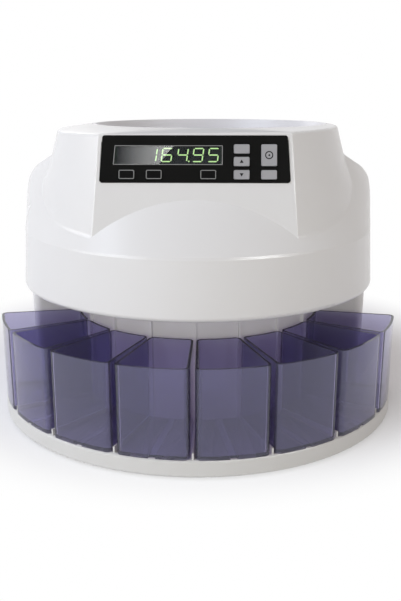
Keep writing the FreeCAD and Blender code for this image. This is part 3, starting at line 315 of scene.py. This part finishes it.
def makeGlow():
    material, tree, shader = newMaterial("segmentGlow")
    grain = grainNode(tree, glow)
    tree.links.new(grain.outputs["Color"], shader.inputs["Emission Color"])
    tree.links.new(grain.outputs["Roughness"], shader.inputs["Roughness"])
    shader.inputs["Base Color"].default_value = linear(*glow["body"])
    shader.inputs["Emission Strength"].default_value = glow["strength"]
    return material


finish["smoky"] = makeSmoky()
finish["lens"] = makeLens()
finish["glow"] = makeGlow()

slotFinish = {"housing_plastic": "housing", "cup_plastic": "smoky", "panel_plastic": "panel",
              "window_plastic": "lens", "silver_key": "silverKey", "black_key": "blackKey",
              "display_glass": "display", "circuit_board": "board", "bowl_plastic": "bowl",
              "deck_plastic": "deck", "steel": "steel", "rotor_plastic": "rotor", "gear_plastic": "gear",
              "rubber": "rubber", "black_plastic": "blackPlastic", "copper_core": "core"}
# the column takes the lighter copy of the housing plastic, painted light for its shade under the drum
nodeFinish = {"base_plate": "base", "front_column": "column"}


# a node's own finish, or else the one for its material; the column's own finish is its plastic painted lighter,
# painted light for the shade the drum casts on it
def finishNode(name, slot):
    mesh = nodes[name].data
    mesh.materials.clear()
    mesh.materials.append(finish[nodeFinish.get(name, slotFinish[slot])])


for part in frame["record"]["subparts"]:
    finishNode(part["node"], part["material_slot"])
print("finishes:", len(finish))

# moulded edges, in metres and degrees
rounding = {"panel": 0.0003, "cup": 0.0004, "key": 0.00015, "angle": 35, "segments": 3}


# a node's triangles are joined, its edges past an angle rounded a little, and it is shaded as one skin
def roundEdges(name, width):
    node = nodes[name]
    weld = node.modifiers.new("weld", "WELD")
    weld.merge_threshold = joining["distance"]
    bevel = node.modifiers.new("roundEdges", "BEVEL")
    bevel.width, bevel.segments = width, rounding["segments"]
    bevel.limit_method, bevel.angle_limit = "ANGLE", math.radians(rounding["angle"])
    bevel.use_clamp_overlap = True
    skin = node.modifiers.new("skin", "WEIGHTED_NORMAL")
    skin.keep_sharp = False


roundEdges("display_panel", rounding["panel"])
for place in cups:
    roundEdges(f"coin_cup_{place}", rounding["cup"])
for key in outlinedKeys + silverKeys:
    roundEdges(f"key_{key}", rounding["key"])
print("edges rounded on panel, cups and keys")


# a step from 0 to 1 that starts and ends level
def smoothStep(share):
    share = np.clip(share, 0, 1)
    return share * share * (3 - 2 * share)


# the housing's shell: a copy of its node with two changes of form that fade out smoothly. Its level top
# falls away from the hopper's edge, by a slope times the distance from that edge, and slides along the
# neck's draft. Its shoulder swells outwards at both sides, most at one height and one angle from the front
shell = {"middle": (0.010, 0.0074), "edge": 0.1036, "slope": 0.14, "limit": 0.0042, "fade": 0.040,
         "draft": 0.28, "swell": 0.0044, "low": 0.160, "peak": 0.203, "high": 0.222, "side": 95.0,
         "spread": 60.0, "longest": 0.008, "halvings": 3, "probe": 0.00001}


def shellShift(points):
    across, height = points[:, :2], points[:, 2]
    reach = np.linalg.norm(across - shell["middle"], axis=1)
    fade = smoothStep(1 - (cadBox[1][2] - height) / shell["fade"])
    fall = fade * np.clip(shell["slope"] * (reach - shell["edge"]), 0, shell["limit"])
    rise = smoothStep((height - shell["low"]) / (shell["peak"] - shell["low"]))
    rise *= smoothStep((shell["high"] - height) / (shell["high"] - shell["peak"]))
    turn = np.degrees(np.arctan2(np.abs(across[:, 0]), -across[:, 1]))
    swell = shell["swell"] * rise * smoothStep(1 - np.abs(turn - shell["side"]) / shell["spread"])
    outward = across / np.linalg.norm(across, axis=1)[:, None]
    return np.column_stack([outward * (shell["draft"] * fall + swell)[:, None], -fall])


# edges too long to follow the swell, between the heights where it starts and ends
def isLong(edge):
    lower, upper = sorted(end.co.z for end in edge.verts)
    return edge.calc_length() > shell["longest"] and upper > shell["low"] and lower < shell["high"]


# the node's triangles joined at their corners, each corner's own normal kept, and long edges halved
def splitShell():
    source = nodes["upper_housing"].data
    corners = np.empty(len(source.loops), dtype=np.int32)
    source.loops.foreach_get("vertex_index", corners)
    normals = np.empty(len(source.loops) * 3)
    source.corner_normals.foreach_get("vector", normals)
    rounded = np.round(meshPoints("upper_housing"), joining["decimals"])
    points, joined = np.unique(rounded, axis=0, return_inverse=True)
    faces = joined.ravel()[corners].reshape(-1, 3)
    whole = (faces != np.roll(faces, 1, 1)).all(1)
    mesh = bpy.data.meshes.new("splitShell")
    mesh.from_pydata(points.tolist(), [], faces[whole].tolist())
    kept = mesh.attributes.new("kept", "FLOAT_VECTOR", "CORNER")
    kept.data.foreach_set("vector", normals.reshape(-1, 9)[whole].ravel())
    work = bmesh.new()
    work.from_mesh(mesh)
    for _ in range(shell["halvings"]):
        far = [edge for edge in work.edges if isLong(edge)]
        bmesh.ops.subdivide_edges(work, edges=far, cuts=1, use_grid_fill=True, use_single_edge=True)
        bmesh.ops.triangulate(work, faces=work.faces[:])
    work.to_mesh(mesh)
    work.free()
    return mesh


# each normal turns with the surface: it is solved from the shift's rates of change along the three axes
def makeShell():
    mesh = splitShell()
    points, normals = np.empty(len(mesh.vertices) * 3), np.empty(len(mesh.loops) * 3)
    faces = np.empty(len(mesh.loops), dtype=np.int32)
    mesh.vertices.foreach_get("co", points)
    mesh.loops.foreach_get("vertex_index", faces)
    mesh.attributes["kept"].data.foreach_get("vector", normals)
    bpy.data.meshes.remove(mesh)
    points = points.reshape(-1, 3)
    spots, probe = points[faces], shell["probe"]
    change = np.stack([shellShift(spots + way) - shellShift(spots - way) for way in np.eye(3) * probe], 1)
    normals = np.linalg.solve(np.eye(3) + change / (2 * probe), normals.reshape(-1, 3, 1))[..., 0]
    normals /= np.linalg.norm(normals, axis=1)[:, None]
    piece = addPiece("housingShell", points + shellShift(points), faces.reshape(-1, 3).tolist(),
                     finish["housing"], "machine")
    piece.data.normals_split_custom_set(normals.tolist())
    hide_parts("upper_housing")


# cup rims: a dark strip carried round the sides and back of each cup's top, painted shade that stands in for the
# light lost along the thick edge
rim = {"from": 0.0005, "to": 0.0018, "proud": 0.00005, "sunk": 0.0001, "outlineReach": 0.0016,
       "frontReach": 0.0012}


# the path is the outer line of the cup's level top, in order of its turn about the cup's middle, starting at
# the front; the strip lies between two distances inside it and leaves the front open
def makeRim(place):
    points = meshPoints(f"coin_cup_{place}")
    top = points[:, 2].max()
    level = points[points[:, 2] > top - joining["distance"], :2]
    level = np.unique(np.round(level, joining["decimals"]), axis=0)
    out = np.array(joints[f"cup_{place}_slide"]["axis"][:2])
    side = [-out[1], out[0]]
    radius = np.hypot(*level.T)
    angle = np.abs(np.arctan2(level @ side, level @ out))
    depth = np.minimum(radius.max() - radius, radius - radius.min())
    depth = np.minimum(depth, radius * (angle.max() - angle))
    outline = level[depth < rim["outlineReach"]]
    spoke = outline - out * (radius.max() + radius.min()) / 2
    turn = np.arctan2(spoke @ side, spoke @ out) % (2 * math.pi)
    path = outline[np.argsort(turn)]
    ahead = np.roll(path, -1, 0) - np.roll(path, 1, 0)
    inward = np.stack([-ahead[:, 1], ahead[:, 0]], 1) / np.linalg.norm(ahead, axis=1)[:, None]
    behind = np.hypot(*path.T) < radius.max() - rim["frontReach"]
    near, far = (path[behind] + inward[behind] * rim[end] for end in ("from", "to"))
    flat = np.stack([near, near, far, far], 1)
    lifts = np.array([-rim["sunk"], rim["proud"], rim["proud"], -rim["sunk"]])
    lift = np.broadcast_to(top + lifts, flat.shape[:2])
    last = 4 * (len(near) - 1)
    ends = [[0, 1, 2, 3], [last + 3, last + 2, last + 1, last]]
    faces = gridFaces(len(near), 4, False, True).tolist() + ends
    # the strip is painted shade in an opaque dark finish
    addPiece(f"cupRimPaintedShade{place}", np.dstack([flat, lift]), faces, finish["rimPaintedShade"], f"cup_{place}",
             False)


makeShell()
for place in cups:
    makeRim(place)
print("housing shell and cup rims made")

# relief of lines and marks: how far a mark's foot is sunk as a share of its height, and a line's section as
# shares of its width and height
relief = {"sunk": 0.2,
          "section": [(0.0, -0.2), (0.0, 0.7), (0.18, 1.0), (0.82, 1.0), (1.0, 0.7), (1.0, -0.2)]}


# a rounded rectangle as a closed path of (across, upward) points, counterclockwise
def roundedPath(left, right, bottom, top, radius, cornerSteps=8):
    centres = np.array([[right - radius, top - radius], [left + radius, top - radius],
                        [left + radius, bottom + radius], [right - radius, bottom + radius]])
    turn = np.linspace(0, math.pi / 2, cornerSteps)[None, :] + np.arange(4)[:, None] * math.pi / 2
    return (centres[:, None, :] + radius * np.stack([np.cos(turn), np.sin(turn)], 2)).reshape(-1, 2)


# a circle of radius 1 as a closed path, counterclockwise
def circlePath(steps):
    turn = np.linspace(0, 2 * math.pi, steps, endpoint=False)
    return np.stack([np.cos(turn), np.sin(turn)], 1)


# a raised line: a low trapezium carried round a closed path that is shrunk towards its own inside
def raisedLine(name, path, width, height, outward, material, body):
    ahead = np.roll(path, -1, 0) - np.roll(path, 1, 0)
    inward = np.stack([-ahead[:, 1], ahead[:, 0]], 1)
    inward /= np.linalg.norm(inward, axis=1)[:, None]
    section = np.array(relief["section"])
    flat = path[:, None, :] + inward[:, None, :] * (section[None, :, 0:1] * width)
    lift = np.broadcast_to(outward + section[None, :, 1] * height, flat.shape[:2])
    points = onFacet(flat[..., 0], flat[..., 1], lift)
    faces = gridFaces(len(path), len(section), True, True).tolist()
    return addPiece(name, points, faces, material, body)


# a flat frame: the strip between two closed paths with as many points each
def flatFrame(name, outer, inner, height, outward, material, body):
    flat = np.stack([outer, outer, inner, inner], 1)
    lift = np.broadcast_to(outward + height * np.array([-1.0, 1.0, 1.0, -1.0]), flat.shape[:2])
    points = onFacet(flat[..., 0], flat[..., 1], lift)
    faces = gridFaces(len(outer), 4, True, True).tolist()
    return addPiece(name, points, faces, material, body, False)


# flat marks: polygons standing slightly proud, each a row of points at its foot and one at its front
def flatPrint(name, outlines, height, outward, material, body):
    points, faces, start = [], [], 0
    lifts = outward + height * np.array([[-relief["sunk"]], [1.0]])
    for outline in outlines:
        count = len(outline)
        flat = np.stack([outline, outline])
        lift = np.broadcast_to(lifts, flat.shape[:2])
        points.append(onFacet(flat[..., 0], flat[..., 1], lift).reshape(-1, 3))
        ring = start + np.arange(count)
        ahead = np.roll(ring, -1)
        sides = np.stack([ring, ahead, ahead + count, ring + count], 1)
        faces += [(ring + count).tolist(), ring[::-1].tolist()] + sides.tolist()
        start += 2 * count
    return addPiece(name, np.vstack(points), faces, material, body, False)


# a key's cap is what lies within this depth of its front face
keyCap = {"depth": 0.0005}
# printed outlines: the window's is the lens's own, moved outwards by a distance on each side
line = {"width": 0.00055, "height": 0.00006, "windowRound": 0.0006, "keyRound": 0.0011,
        "borderReach": 0.0006, "borderHeight": 0.00002, "windowLeft": 0.0004, "windowRight": -0.0002,
        "windowBottom": 0.0001, "windowTop": -0.0007, "windowSlant": 0.0007}


# the border covers the lens's edge, from the outline to a little outside the lens
def makeWindowOutline():
    left, right, bottom, top, _ = facetSpan("display_window")
    front = facetSpan("display_panel")[4]
    middle = (left + right) / 2
    reach = line["borderReach"]
    border = roundedPath(left - reach, right + reach, bottom - reach, top + reach, line["windowRound"])
    path = roundedPath(left - line["windowLeft"], right + line["windowRight"], bottom - line["windowBottom"],
                       top + line["windowTop"], line["windowRound"])
    rise = 2 * (path[:, 1] - bottom) / (top - bottom) - 1  # the left side leans like the panel's own
    path[:, 0] += np.where(path[:, 0] < middle, rise * line["windowSlant"], 0)
    border[:, 0] -= np.where(border[:, 0] < middle, line["windowSlant"], 0)
    flatFrame("windowBorder", border, path, line["borderHeight"], front, finish["panel"], "machine")
    raisedLine("windowOutline", path, line["width"], line["height"], front, finish["print"], "machine")


# a line along the edge of a key's cap
def makeKeyOutline(key):
    left, right, bottom, top, front = facetSpan(f"key_{key}", keyCap["depth"])
    path = roundedPath(left, right, bottom, top, line["keyRound"])
    raisedLine(f"{key}KeyOutline", path, line["width"], line["height"], front, finish["print"], f"{key}_key")


# marks on the keys: a triangle's corners and an arrow's, as shares of their sizes
symbol = {"triangle": 0.0015, "triangleCorners": [(-1.0, -0.7), (1.0, -0.7), (0.0, 1.0)], "ring": 0.0031,
          "ringLine": 0.0008, "ringSteps": 48, "arrow": 0.0012,
          "arrowCorners": [(0.6, -0.8), (0.6, 0.8), (-0.9, 0.0)], "height": 0.00005}


# the middle of a key's cap, and how far out its front is
def capMiddle(key):
    left, right, bottom, top, front = facetSpan(f"key_{key}", keyCap["depth"])
    return np.array([(left + right) / 2, (bottom + top) / 2]), front


# the triangle that points down is the other one mirrored, its corners in reverse order
def makeSymbols():
    triangle = symbol["triangle"] * np.array(symbol["triangleCorners"])
    for key, corners in (("up", triangle), ("down", triangle[::-1] * [1, -1])):
        middle, front = capMiddle(key)
        flatPrint(f"{key}Mark", [middle + corners], symbol["height"], front, finish["darkPrint"],
                  f"{key}_key")
    middle, front = capMiddle("start")
    circle = middle + symbol["ring"] * circlePath(symbol["ringSteps"])
    raisedLine("startRing", circle, symbol["ringLine"], symbol["height"], front, finish["darkPrint"],
               "start_key")
    arrow = middle + symbol["arrow"] * np.array(symbol["arrowCorners"])
    flatPrint("startArrow", [arrow], symbol["height"], front, finish["darkPrint"], "start_key")


# seven-segment digits: each segment is a bar with pointed ends, leaning to the right
digits = {"shown": ["1", "6", "4", "9", "5"], "fromRight": [0.0543, 0.0427, 0.0307, 0.0189, 0.0072],
          "fromTop": 0.0023, "width": 0.0082, "height": 0.0109, "stroke": 0.0009, "gap": 0.00028,
          "slant": 8.0, "depth": 0.00004, "pointAfter": 2, "point": 0.0012, "pointGap": 0.0013,
          "pointSteps": 12}
segmentEnds = {"a": ((0, 2), (1, 2)), "b": ((1, 2), (1, 1)), "c": ((1, 1), (1, 0)), "d": ((0, 0), (1, 0)),
               "e": ((0, 1), (0, 0)), "f": ((0, 2), (0, 1)), "g": ((0, 1), (1, 1))}
segmentsOf = {"1": "bc", "4": "fgbc", "5": "afgcd", "6": "afgecd", "9": "abfgcd"}


# six corners: the two ends, drawn in by a gap, and two more beside each, half a stroke along and aside
def segmentBar(start, end):
    half = digits["stroke"] / 2
    cell = np.array([digits["width"] - digits["stroke"], (digits["height"] - digits["stroke"]) / 2])
    first, last = (np.array(corner) * cell + half for corner in (start, end))
    along = (last - first) / np.linalg.norm(last - first)
    side = np.array([-along[1], along[0]])
    first, last = first + along * digits["gap"], last - along * digits["gap"]
    return np.array([first, first + (along - side) * half, last - (along + side) * half, last,
                     last + (side - along) * half, first + (along + side) * half])


# bars and point lean: each moves aside by its height over the digit's middle times the slant's tangent
def makeDigits():
    _, right, _, top, _ = facetSpan("display_window")
    front = facetSpan("display_module")[4]
    shear = math.tan(math.radians(digits["slant"]))
    outlines = []
    for place, digit in enumerate(digits["shown"]):
        middle = right - digits["fromRight"][place]
        corner = np.array([middle - digits["width"] / 2, top - digits["fromTop"] - digits["height"]])
        shapes = [segmentBar(*segmentEnds[segment]) for segment in segmentsOf[digit]]
        if place == digits["pointAfter"]:
            dot = circlePath(digits["pointSteps"]) * digits["point"] / 2
            shapes.append(dot + [digits["width"] + digits["pointGap"], digits["point"] / 2])
        for shape in shapes:
            aside = (shape[:, 1] - digits["height"] / 2) * shear
            outlines.append(corner + shape + np.stack([aside, np.zeros(len(shape))], 1))
    flatPrint("displayDigits", outlines, digits["depth"], front, finish["glow"], "machine")


makeWindowOutline()
for key in outlinedKeys:
    makeKeyOutline(key)
makeSymbols()
makeDigits()
print("panel print made")

# camera, in metres and degrees: where the viewer stood, and a lens that spans the picture's height
camera = {"distance": 0.69275, "azimuth": 1.32, "height": 0.28043, "pitch": 15.34, "yaw": 1.134,
          "focalPixels": 761.07, "pictureHeight": 601, "sensor": 36.0, "near": 0.01, "far": 50}


# the focal length is to the sensor as the focal length in pixels is to the picture's height
def makeCamera():
    data = bpy.data.cameras.new("camera")
    data.sensor_width = camera["sensor"]
    data.lens = camera["focalPixels"] * camera["sensor"] / camera["pictureHeight"]
    data.clip_start, data.clip_end = camera["near"], camera["far"]
    viewer = bpy.data.objects.new("camera", data)
    around = math.radians(camera["azimuth"])
    viewer.location = (camera["distance"] * math.sin(around), -camera["distance"] * math.cos(around),
                       camera["height"])
    viewer.rotation_euler = (math.radians(90 - camera["pitch"]), 0, math.radians(camera["yaw"]))
    scene.collection.objects.link(viewer)
    scene.camera = viewer


# studio: white floor and sky for what sees them, lamps for the light itself
studio = {"floor": 8.0, "paper": (0.90, 0.90, 0.91, 1), "seenPaper": (0.86, 0.867, 0.90, 1),
          "paperRoughness": 0.9, "white": (1, 1, 1, 1), "whiteFrom": 0.20, "whiteTo": 0.35,
          "whiteBack": 0.12, "sky": 0.48, "skyColour": (1.0, 0.925, 0.89, 1)}
lamps = {
    "keyLamp": {"place": (-1.616, -0.754, 1.756), "aim": (0, 0, 0.15), "size": (1.5, 1.5), "power": 28,
                "colour": (0.79, 0.86, 1.0)},
    "frontLamp": {"place": (-0.416, -2.36, 0.276), "aim": (0, 0, 0.15), "size": (1.4, 0.3), "power": 9,
                  "colour": (0.99, 1.0, 0.86), "mirrored": False},
    "backLamp": {"place": (-1.0, 1.9, 1.5), "aim": (0, 0, 0.12), "size": (1.2, 1.2), "power": 9,
                 "colour": (1.0, 0.99, 0.97)},
}
# the window mirrors a dark flag and, before it, a slanted lit card; the housing mirrors two cards each side
cards = {
    "darkFlag": {"corners": [(-0.9, -1.6, 0.6), (0.9, -1.6, 0.6), (0.9, -1.6, 1.4), (-0.9, -1.6, 1.4)],
                 "light": (0.0, 0.0)},
    "litCard": {"corners": [(-0.262, -1.5, 0.90), (-0.182, -1.5, 0.90), (-0.064, -1.5, 1.07),
                            (-0.262, -1.5, 1.07)], "light": (0.0, 12.0)},
    "leftCard": {"corners": [(-1.886, 0.265, 0.84), (-1.682, -0.894, 0.84), (-1.60, -0.85, 1.06),
                             (-1.80, 0.253, 1.06)], "light": (6.0, 6.0)},
    "rightCard": {"corners": [(1.029, -1.647, 1.18), (1.825, -0.664, 1.18), (1.673, -0.609, 1.53),
                              (0.943, -1.509, 1.53)], "light": (13.0, 13.0)},
    "leftEdgeCard": {"corners": [(-1.532, -1.286, 0.75), (-1.231, -1.576, 0.75), (-1.231, -1.576, 1.08),
                                 (-1.532, -1.286, 1.08)], "light": (11.0, 11.0)},
    "rightEdgeCard": {"corners": [(1.231, -1.576, 0.75), (1.532, -1.286, 0.75), (1.532, -1.286, 1.08),
                                  (1.231, -1.576, 1.08)], "light": (11.0, 11.0)},
}


# 1 for rays that look at the studio, 0 for rays that gather its light
def seenByRays(tree):
    rays = tree.nodes.new("ShaderNodeLightPath")
    seen = rays.outputs["Is Camera Ray"]
    for kind in ("Is Glossy Ray", "Is Transmission Ray"):
        either = tree.nodes.new("ShaderNodeMath")
        either.operation = "MAXIMUM"
        tree.links.new(seen, either.inputs[0])
        tree.links.new(rays.outputs[kind], either.inputs[1])
        seen = either.outputs["Value"]
    return seen


# paper under the object takes its shadow, and away from it fades into plain white
def makePaper():
    material, tree, shader = newMaterial("floorPaper")
    link = tree.links.new
    seen = seenByRays(tree)
    tint = tree.nodes.new("ShaderNodeMix")
    tint.data_type = "RGBA"
    tint.inputs["A"].default_value, tint.inputs["B"].default_value = studio["paper"], studio["seenPaper"]
    link(seen, tint.inputs["Factor"])
    link(tint.outputs["Result"], shader.inputs["Base Color"])
    shader.inputs["Roughness"].default_value = studio["paperRoughness"]
    shader.inputs["Specular IOR Level"].default_value = 0.0
    coordinates = tree.nodes.new("ShaderNodeTexCoord")
    away = tree.nodes.new("ShaderNodeVectorMath")
    away.operation = "DISTANCE"
    away.inputs[1].default_value = (0, studio["whiteBack"], 0)
    fade = tree.nodes.new("ShaderNodeMapRange")
    fade.interpolation_type = "SMOOTHSTEP"
    fade.inputs["From Min"].default_value = studio["whiteFrom"]
    fade.inputs["From Max"].default_value = studio["whiteTo"]
    both = tree.nodes.new("ShaderNodeMath")
    both.operation = "MULTIPLY"
    white = tree.nodes.new("ShaderNodeEmission")
    white.inputs["Color"].default_value = studio["white"]
    mix = tree.nodes.new("ShaderNodeMixShader")
    link(coordinates.outputs["Object"], away.inputs[0])
    link(away.outputs["Value"], fade.inputs["Value"])
    link(fade.outputs["Result"], both.inputs[0])
    link(seen, both.inputs[1])
    link(both.outputs["Value"], mix.inputs["Fac"])
    link(shader.outputs["BSDF"], mix.inputs[1])
    link(white.outputs["Emission"], mix.inputs[2])
    link(mix.outputs["Shader"], tree.nodes["Material Output"].inputs["Surface"])
    return material


# a flat studio piece from its corners, which is no part of the object
def stagePiece(name, corners, material):
    mesh = bpy.data.meshes.new(name)
    mesh.from_pydata(corners, [], [[0, 1, 2, 3]])
    mesh.materials.append(material)
    piece = bpy.data.objects.new(name, mesh)
    scene.collection.objects.link(piece)
    return piece


# a card that only reflections see, its light rising from left to right
def makeCard(name, card):
    material, tree, _ = newMaterial(name)
    across = [corner[0] for corner in card["corners"]]
    coordinates = tree.nodes.new("ShaderNodeTexCoord")
    parts = tree.nodes.new("ShaderNodeSeparateXYZ")
    rise = tree.nodes.new("ShaderNodeMapRange")
    rise.inputs["From Min"].default_value, rise.inputs["From Max"].default_value = min(across), max(across)
    rise.inputs["To Min"].default_value, rise.inputs["To Max"].default_value = card["light"]
    shine = tree.nodes.new("ShaderNodeEmission")
    tree.links.new(coordinates.outputs["Object"], parts.inputs["Vector"])
    tree.links.new(parts.outputs["X"], rise.inputs["Value"])
    tree.links.new(rise.outputs["Result"], shine.inputs["Strength"])
    tree.links.new(shine.outputs["Emission"], tree.nodes["Material Output"].inputs["Surface"])
    piece = stagePiece(name, card["corners"], material)
    piece.visible_camera = piece.visible_diffuse = piece.visible_transmission = piece.visible_shadow = False


# a square of paper under the object
def makeFloor():
    half = studio["floor"] / 2
    corners = [(-half, -half, 0), (half, -half, 0), (half, half, 0), (-half, half, 0)]
    stagePiece("floor", corners, makePaper())


# the sky lights the object warmly, and whatever looks at it sees plain white
def makeSky():
    world = bpy.data.worlds.new("studio")
    scene.world = world
    world.use_nodes = True
    tree = world.node_tree
    sky = tree.nodes["Background"]
    sky.inputs["Color"].default_value = studio["skyColour"]
    sky.inputs["Strength"].default_value = studio["sky"]
    plain = tree.nodes.new("ShaderNodeBackground")
    plain.inputs["Color"].default_value = studio["white"]
    mix = tree.nodes.new("ShaderNodeMixShader")
    tree.links.new(seenByRays(tree), mix.inputs["Fac"])
    tree.links.new(sky.outputs["Background"], mix.inputs[1])
    tree.links.new(plain.outputs["Background"], mix.inputs[2])
    tree.links.new(mix.outputs["Shader"], tree.nodes["World Output"].inputs["Surface"])


# an area lamp that faces from its place to its aim
def makeLamp(name, lamp):
    data = bpy.data.lights.new(name, "AREA")
    data.shape = "RECTANGLE"
    data.size, data.size_y = lamp["size"]
    data.energy = lamp["power"]
    data.color = lamp["colour"]
    light = bpy.data.objects.new(name, data)
    light.location = lamp["place"]
    ahead = Vector(lamp["aim"]) - Vector(lamp["place"])
    light.rotation_euler = ahead.to_track_quat("-Z", "Y").to_euler()
    light.visible_glossy = lamp.get("mirrored", True)
    scene.collection.objects.link(light)


makeCamera()
makeFloor()
for name, card in cards.items():
    makeCard(name, card)
makeSky()
for name, lamp in lamps.items():
    makeLamp(name, lamp)
scene.view_settings.view_transform = "Standard"
print("camera and studio ready")
